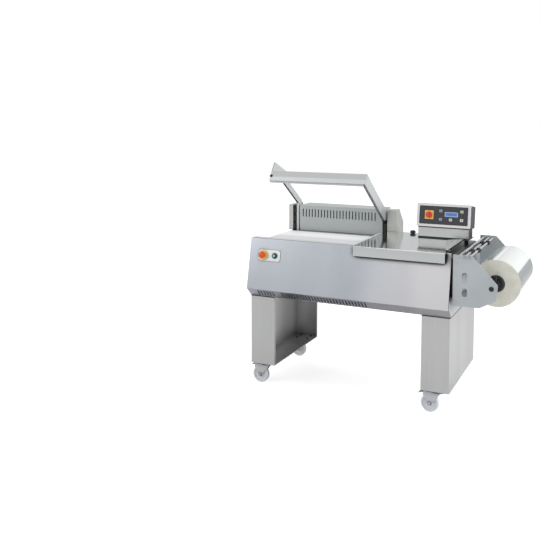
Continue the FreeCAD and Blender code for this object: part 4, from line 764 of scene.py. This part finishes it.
def arc(centre, radius, start, end, steps=8):
    """Points round a corner, angles in degrees."""
    angles = [math.radians(start + (end - start) * step / steps) for step in range(steps + 1)]
    return [(centre[0] + radius * math.cos(angle), centre[1] + radius * math.sin(angle))
            for angle in angles]


def rounded(left, right, low, high, corner):
    """A rectangle with round corners, as a run of points."""
    centres = [(right - corner, low + corner, -90), (right - corner, high - corner, 0),
               (left + corner, high - corner, 90), (left + corner, low + corner, 180)]
    return [point for x, y, start in centres
            for point in arc((x, y), corner, start, start + 90, steps=5)]


def polygon(x, y, radius, count=32, turn=0.0):
    """Equal sides round a middle, from an angle in degrees on."""
    angles = [math.radians(turn) + 2 * math.pi * step / count for step in range(count)]
    return [(x + radius * math.cos(angle), y + radius * math.sin(angle)) for angle in angles]


def plates(name, shapes, place, material, body):
    """One piece made of one or more plates, each (outline, low, high)."""
    work = bmesh.new()
    for points, low, high in shapes:
        raise_plate(work, points, low, high)
    return settle(name, work, place, material, body)


def lathe(name, profile, place, material, body, count=72):
    """A round piece: each profile point is (distance from the axis, height)."""
    work = bmesh.new()
    rings = []
    for radius, height in profile:
        ring = [(0, 0)] if radius < ON_AXIS else polygon(0, 0, radius, count)
        rings.append([work.verts.new((x, y, height)) for x, y in ring])
    for low, high in zip(rings, rings[1:]):
        for step in range(count):
            after = (step + 1) % count
            ends = [low[step % len(low)], low[after % len(low)], high[after % len(high)],
                    high[step % len(high)]]
            corners = list(dict.fromkeys(ends))
            if len(corners) > 2:
                work.faces.new(corners)
    piece = settle(name, work, place, material, body, smooth=True)
    piece.data.set_sharp_from_angle(angle=SHARP_ANGLE)
    return piece


# Console, with heights over the bezel's back

BEZEL_THICK = 9
KEY_TOP = 5.8
DISPLAY_TOP = 7
# How far the caps and marks stand over the keys' fields, and the frame and glass over theirs
CAP_RISE = 0.4
MARK_RISE = 0.5
FRAME_RISE = 0.5
GLASS_RISE = 0.7
KEY_ROWS = (46, 96)
KEY_HALF = (9.2, 8.2)
KEY_CORNER = 2
MARK_SIZE = 3.2
SCREEN = (167, 245, 63, 91)
SCREEN_FRAME = 5
SCREEN_CORNER = 2
GLASS_CORNER = 1
# Each key's name, place across, row, colour, and the sides and turn of its mark
KEYS = [
    ("key_up", 142, 1, (0.36, 0.36, 0.38), 3, 90),
    ("key_down", 142, 0, (0.34, 0.35, 0.36), 3, -90),
    ("key_enter", 202, 0, (0.62, 0.78, 0.60), 4, 45),
    ("key_plus", 267, 1, (0.62, 0.66, 0.48), 32, 0),
    ("key_minus", 267, 0, (0.80, 0.78, 0.66), 6, 0),
]


def console_place():
    """The lower left corner of the bezel's back, leaning with the console."""
    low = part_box("control_bezel")[0]
    corner = Vector((low.x, low.y + BEZEL_THICK * MM * math.cos(CONSOLE_TILT), low.z))
    return Matrix.Translation(corner) @ Matrix.Rotation(math.pi / 2 - CONSOLE_TILT, 4, "X")


def make_display(place):
    left, right, low, high = SCREEN
    edge = rounded(left, right, low, high, SCREEN_CORNER)
    plates("display_frame", [(edge, DISPLAY_TOP, DISPLAY_TOP + FRAME_RISE)], place,
           coated("display_frame", (0.42, 0.55, 0.80), rough=0.35), "cabinet")
    glass = rounded(left + SCREEN_FRAME, right - SCREEN_FRAME, low + SCREEN_FRAME,
                    high - SCREEN_FRAME, GLASS_CORNER)
    plates("display_glass", [(glass, DISPLAY_TOP + FRAME_RISE, DISPLAY_TOP + GLASS_RISE)], place,
           display_glass("display_glass"), "cabinet")


def make_keys(place):
    ink = coated("key_ink", (0.05, 0.06, 0.07), rough=0.5)
    wide, tall = KEY_HALF
    for name, x, row, colour, sides, turn in KEYS:
        y = KEY_ROWS[row]
        cap = rounded(x - wide, x + wide, y - tall, y + tall, KEY_CORNER)
        plates(name, [(cap, KEY_TOP, KEY_TOP + CAP_RISE)], place, coated(name, colour, rough=0.4),
               "cabinet")
        mark = polygon(x, y, MARK_SIZE, sides, turn)
        plates(name + "_mark", [(mark, KEY_TOP + CAP_RISE, KEY_TOP + MARK_RISE)], place, ink,
               "cabinet")


# Buttons, with heights over the back of their plate

PANEL_LEAN = math.atan(LEAN_RUN[0] / LEAN_RUN[1])
BUTTON_PLATE_THICK = 2
STOP_PROFILE = [(0, -16), (10, -16), (10, 17), (17, 17), *arc((17, 20), 3, -60, 0, steps=4),
                *arc((12, 23), 8, 0, 70), (9, 32.6), (4, 34.2), (0, 34.6)]
START_FACE_RADIUS = 6.5
START_FACE_LEVELS = (13, 13.3)
SCREW_RADIUS = 2.6
SCREW_LEVELS = (2, 3.2)
SCREW_INSET = 5
SCREW_HIGH = 28


def button_place(node):
    """On the push axis of a button, at the back of the plate that carries both."""
    low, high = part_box("button_plate")
    out = Vector((0, -math.cos(PANEL_LEAN), math.sin(PANEL_LEAN)))
    corner = (low + high) / 2 - out * (BUTTON_PLATE_THICK / 2 * MM)
    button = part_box(node)
    corner.x = (button[0].x + button[1].x) / 2
    return Matrix.Translation(corner) @ Matrix.Rotation(math.pi / 2 - PANEL_LEAN, 4, "X")


def make_buttons():
    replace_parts(lathe("emergency_head", STOP_PROFILE, button_place("emergency_button"),
                      coated("stop_red", (0.80, 0.075, 0.02), rough=0.25), "emergency_stop"), "emergency_button")
    plates("start_button_face", [(polygon(0, 0, START_FACE_RADIUS), *START_FACE_LEVELS)],
           button_place("start_button"), coated("start_face", (0.42, 0.62, 0.58), rough=0.3),
           "start_button")


def make_plate_screws():
    low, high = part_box("button_plate")
    half = (high.x - low.x) / 2 / MM - SCREW_INSET
    screws = [(polygon(x, y, SCREW_RADIUS, count=24), *SCREW_LEVELS)
              for x in (-half, half) for y in (-SCREW_HIGH, SCREW_HIGH)]
    plates("button_plate_screws", screws, button_place("button_plate"),
           coated("screw_dark", (0.16, 0.16, 0.17), rough=0.35, metallic=1.0), "cabinet")


# Clamp knob, with depths under its top

STUD = 4
COLLAR = 12
COLLAR_FOOT = -19
GRIP_FOOT = -15
GRIP_ROUND = 2
DOME = 9.6
DOME_INSET = 10
CROWN = -0.1


def make_knob(material):
    low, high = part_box("clamp_knob")
    place = Matrix.Translation(((low.x + high.x) / 2, (low.y + high.y) / 2, high.z))
    foot = (low.z - high.z) / MM
    wide = (high.x - low.x) / 2 / MM
    profile = [(0, foot), (STUD, foot), (STUD, COLLAR_FOOT), (COLLAR, COLLAR_FOOT),
               (COLLAR, GRIP_FOOT), (wide - GRIP_ROUND, GRIP_FOOT)]
    profile += arc((wide - GRIP_ROUND, GRIP_FOOT + GRIP_ROUND), GRIP_ROUND, -90, 0, steps=4)
    profile += arc((wide - DOME_INSET, -DOME), DOME, 20, 80)
    profile += [(STUD, CROWN), (0, 0)]
    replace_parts(lathe("knob_head", profile, place, material, "clamp_knob"),
                "clamp_knob")


# The bolt at the free end of the sealing frame's front bar

OPEN_ANGLE = math.radians(35)
BOLT_INSET = 8
BOLT_DROP = 35
BOLT_SEAT = 1
BOLT_RADIUS = 9
BOLT_HEIGHT = 5
BOLT_ROUND = 2


def make_end_bolt(material):
    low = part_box("frame_gusset")[0]
    place = Matrix.Translation(low) @ Matrix.Rotation(math.pi / 2 - OPEN_ANGLE, 4, "X")
    place = place @ Matrix.Translation(Vector((BOLT_INSET, -BOLT_DROP, BOLT_SEAT)) * MM)
    shoulder = BOLT_HEIGHT - BOLT_ROUND
    corner = arc((BOLT_RADIUS - BOLT_ROUND, shoulder), BOLT_ROUND, 0, 90, steps=4)
    head = [(0, 0), (BOLT_RADIUS, 0), (BOLT_RADIUS, shoulder), *corner, (0, BOLT_HEIGHT)]
    lathe("end_bolt", head, place, material, "sealing_frame", count=32)


# Castor wheels, with a hub, a thin web, a rim and a round tyre

WHEEL_BORE = 6.05
HUB = (15, 17)
WEB_HALF = 10
RIM = (36.5, 39)
RIM_HALF = 16
TYRE_MIDDLE = (44, 10)
TYRE_ROUND = 6


def wheel_profile(half):
    side = [(HUB[0], half), (HUB[1], WEB_HALF), (RIM[0], WEB_HALF), (RIM[1], RIM_HALF)]
    upper = side + arc(TYRE_MIDDLE, TYRE_ROUND, 90, 0, steps=6)
    lower = [(x, -y) for x, y in reversed(upper)]
    return [(WHEEL_BORE, half), *upper, *lower, (WHEEL_BORE, -half), (WHEEL_BORE, half)]


def make_wheels(material):
    for row in frame["record"]["subparts"]:
        node = row["node"]
        if node.startswith("castor_wheel_"):
            low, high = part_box(node)
            place = Matrix.Translation((low + high) / 2) @ Matrix.Rotation(math.pi / 2, 4, "X")
            wheel = node.removeprefix("castor_")
            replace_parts(lathe(wheel, wheel_profile((high.y - low.y) / 2 / MM), place, material,
                              wheel), node)


make_camera()
make_world()
make_lamps()
make_floor()
finishes = dress_nodes()
console = console_place()
make_display(console)
make_keys(console)
make_buttons()
make_plate_screws()
make_knob(finishes["black_plastic"])
make_end_bolt(finishes["black_plastic"])
make_wheels(finishes["nylon"])

bpy.context.scene.view_settings.view_transform = "Standard"
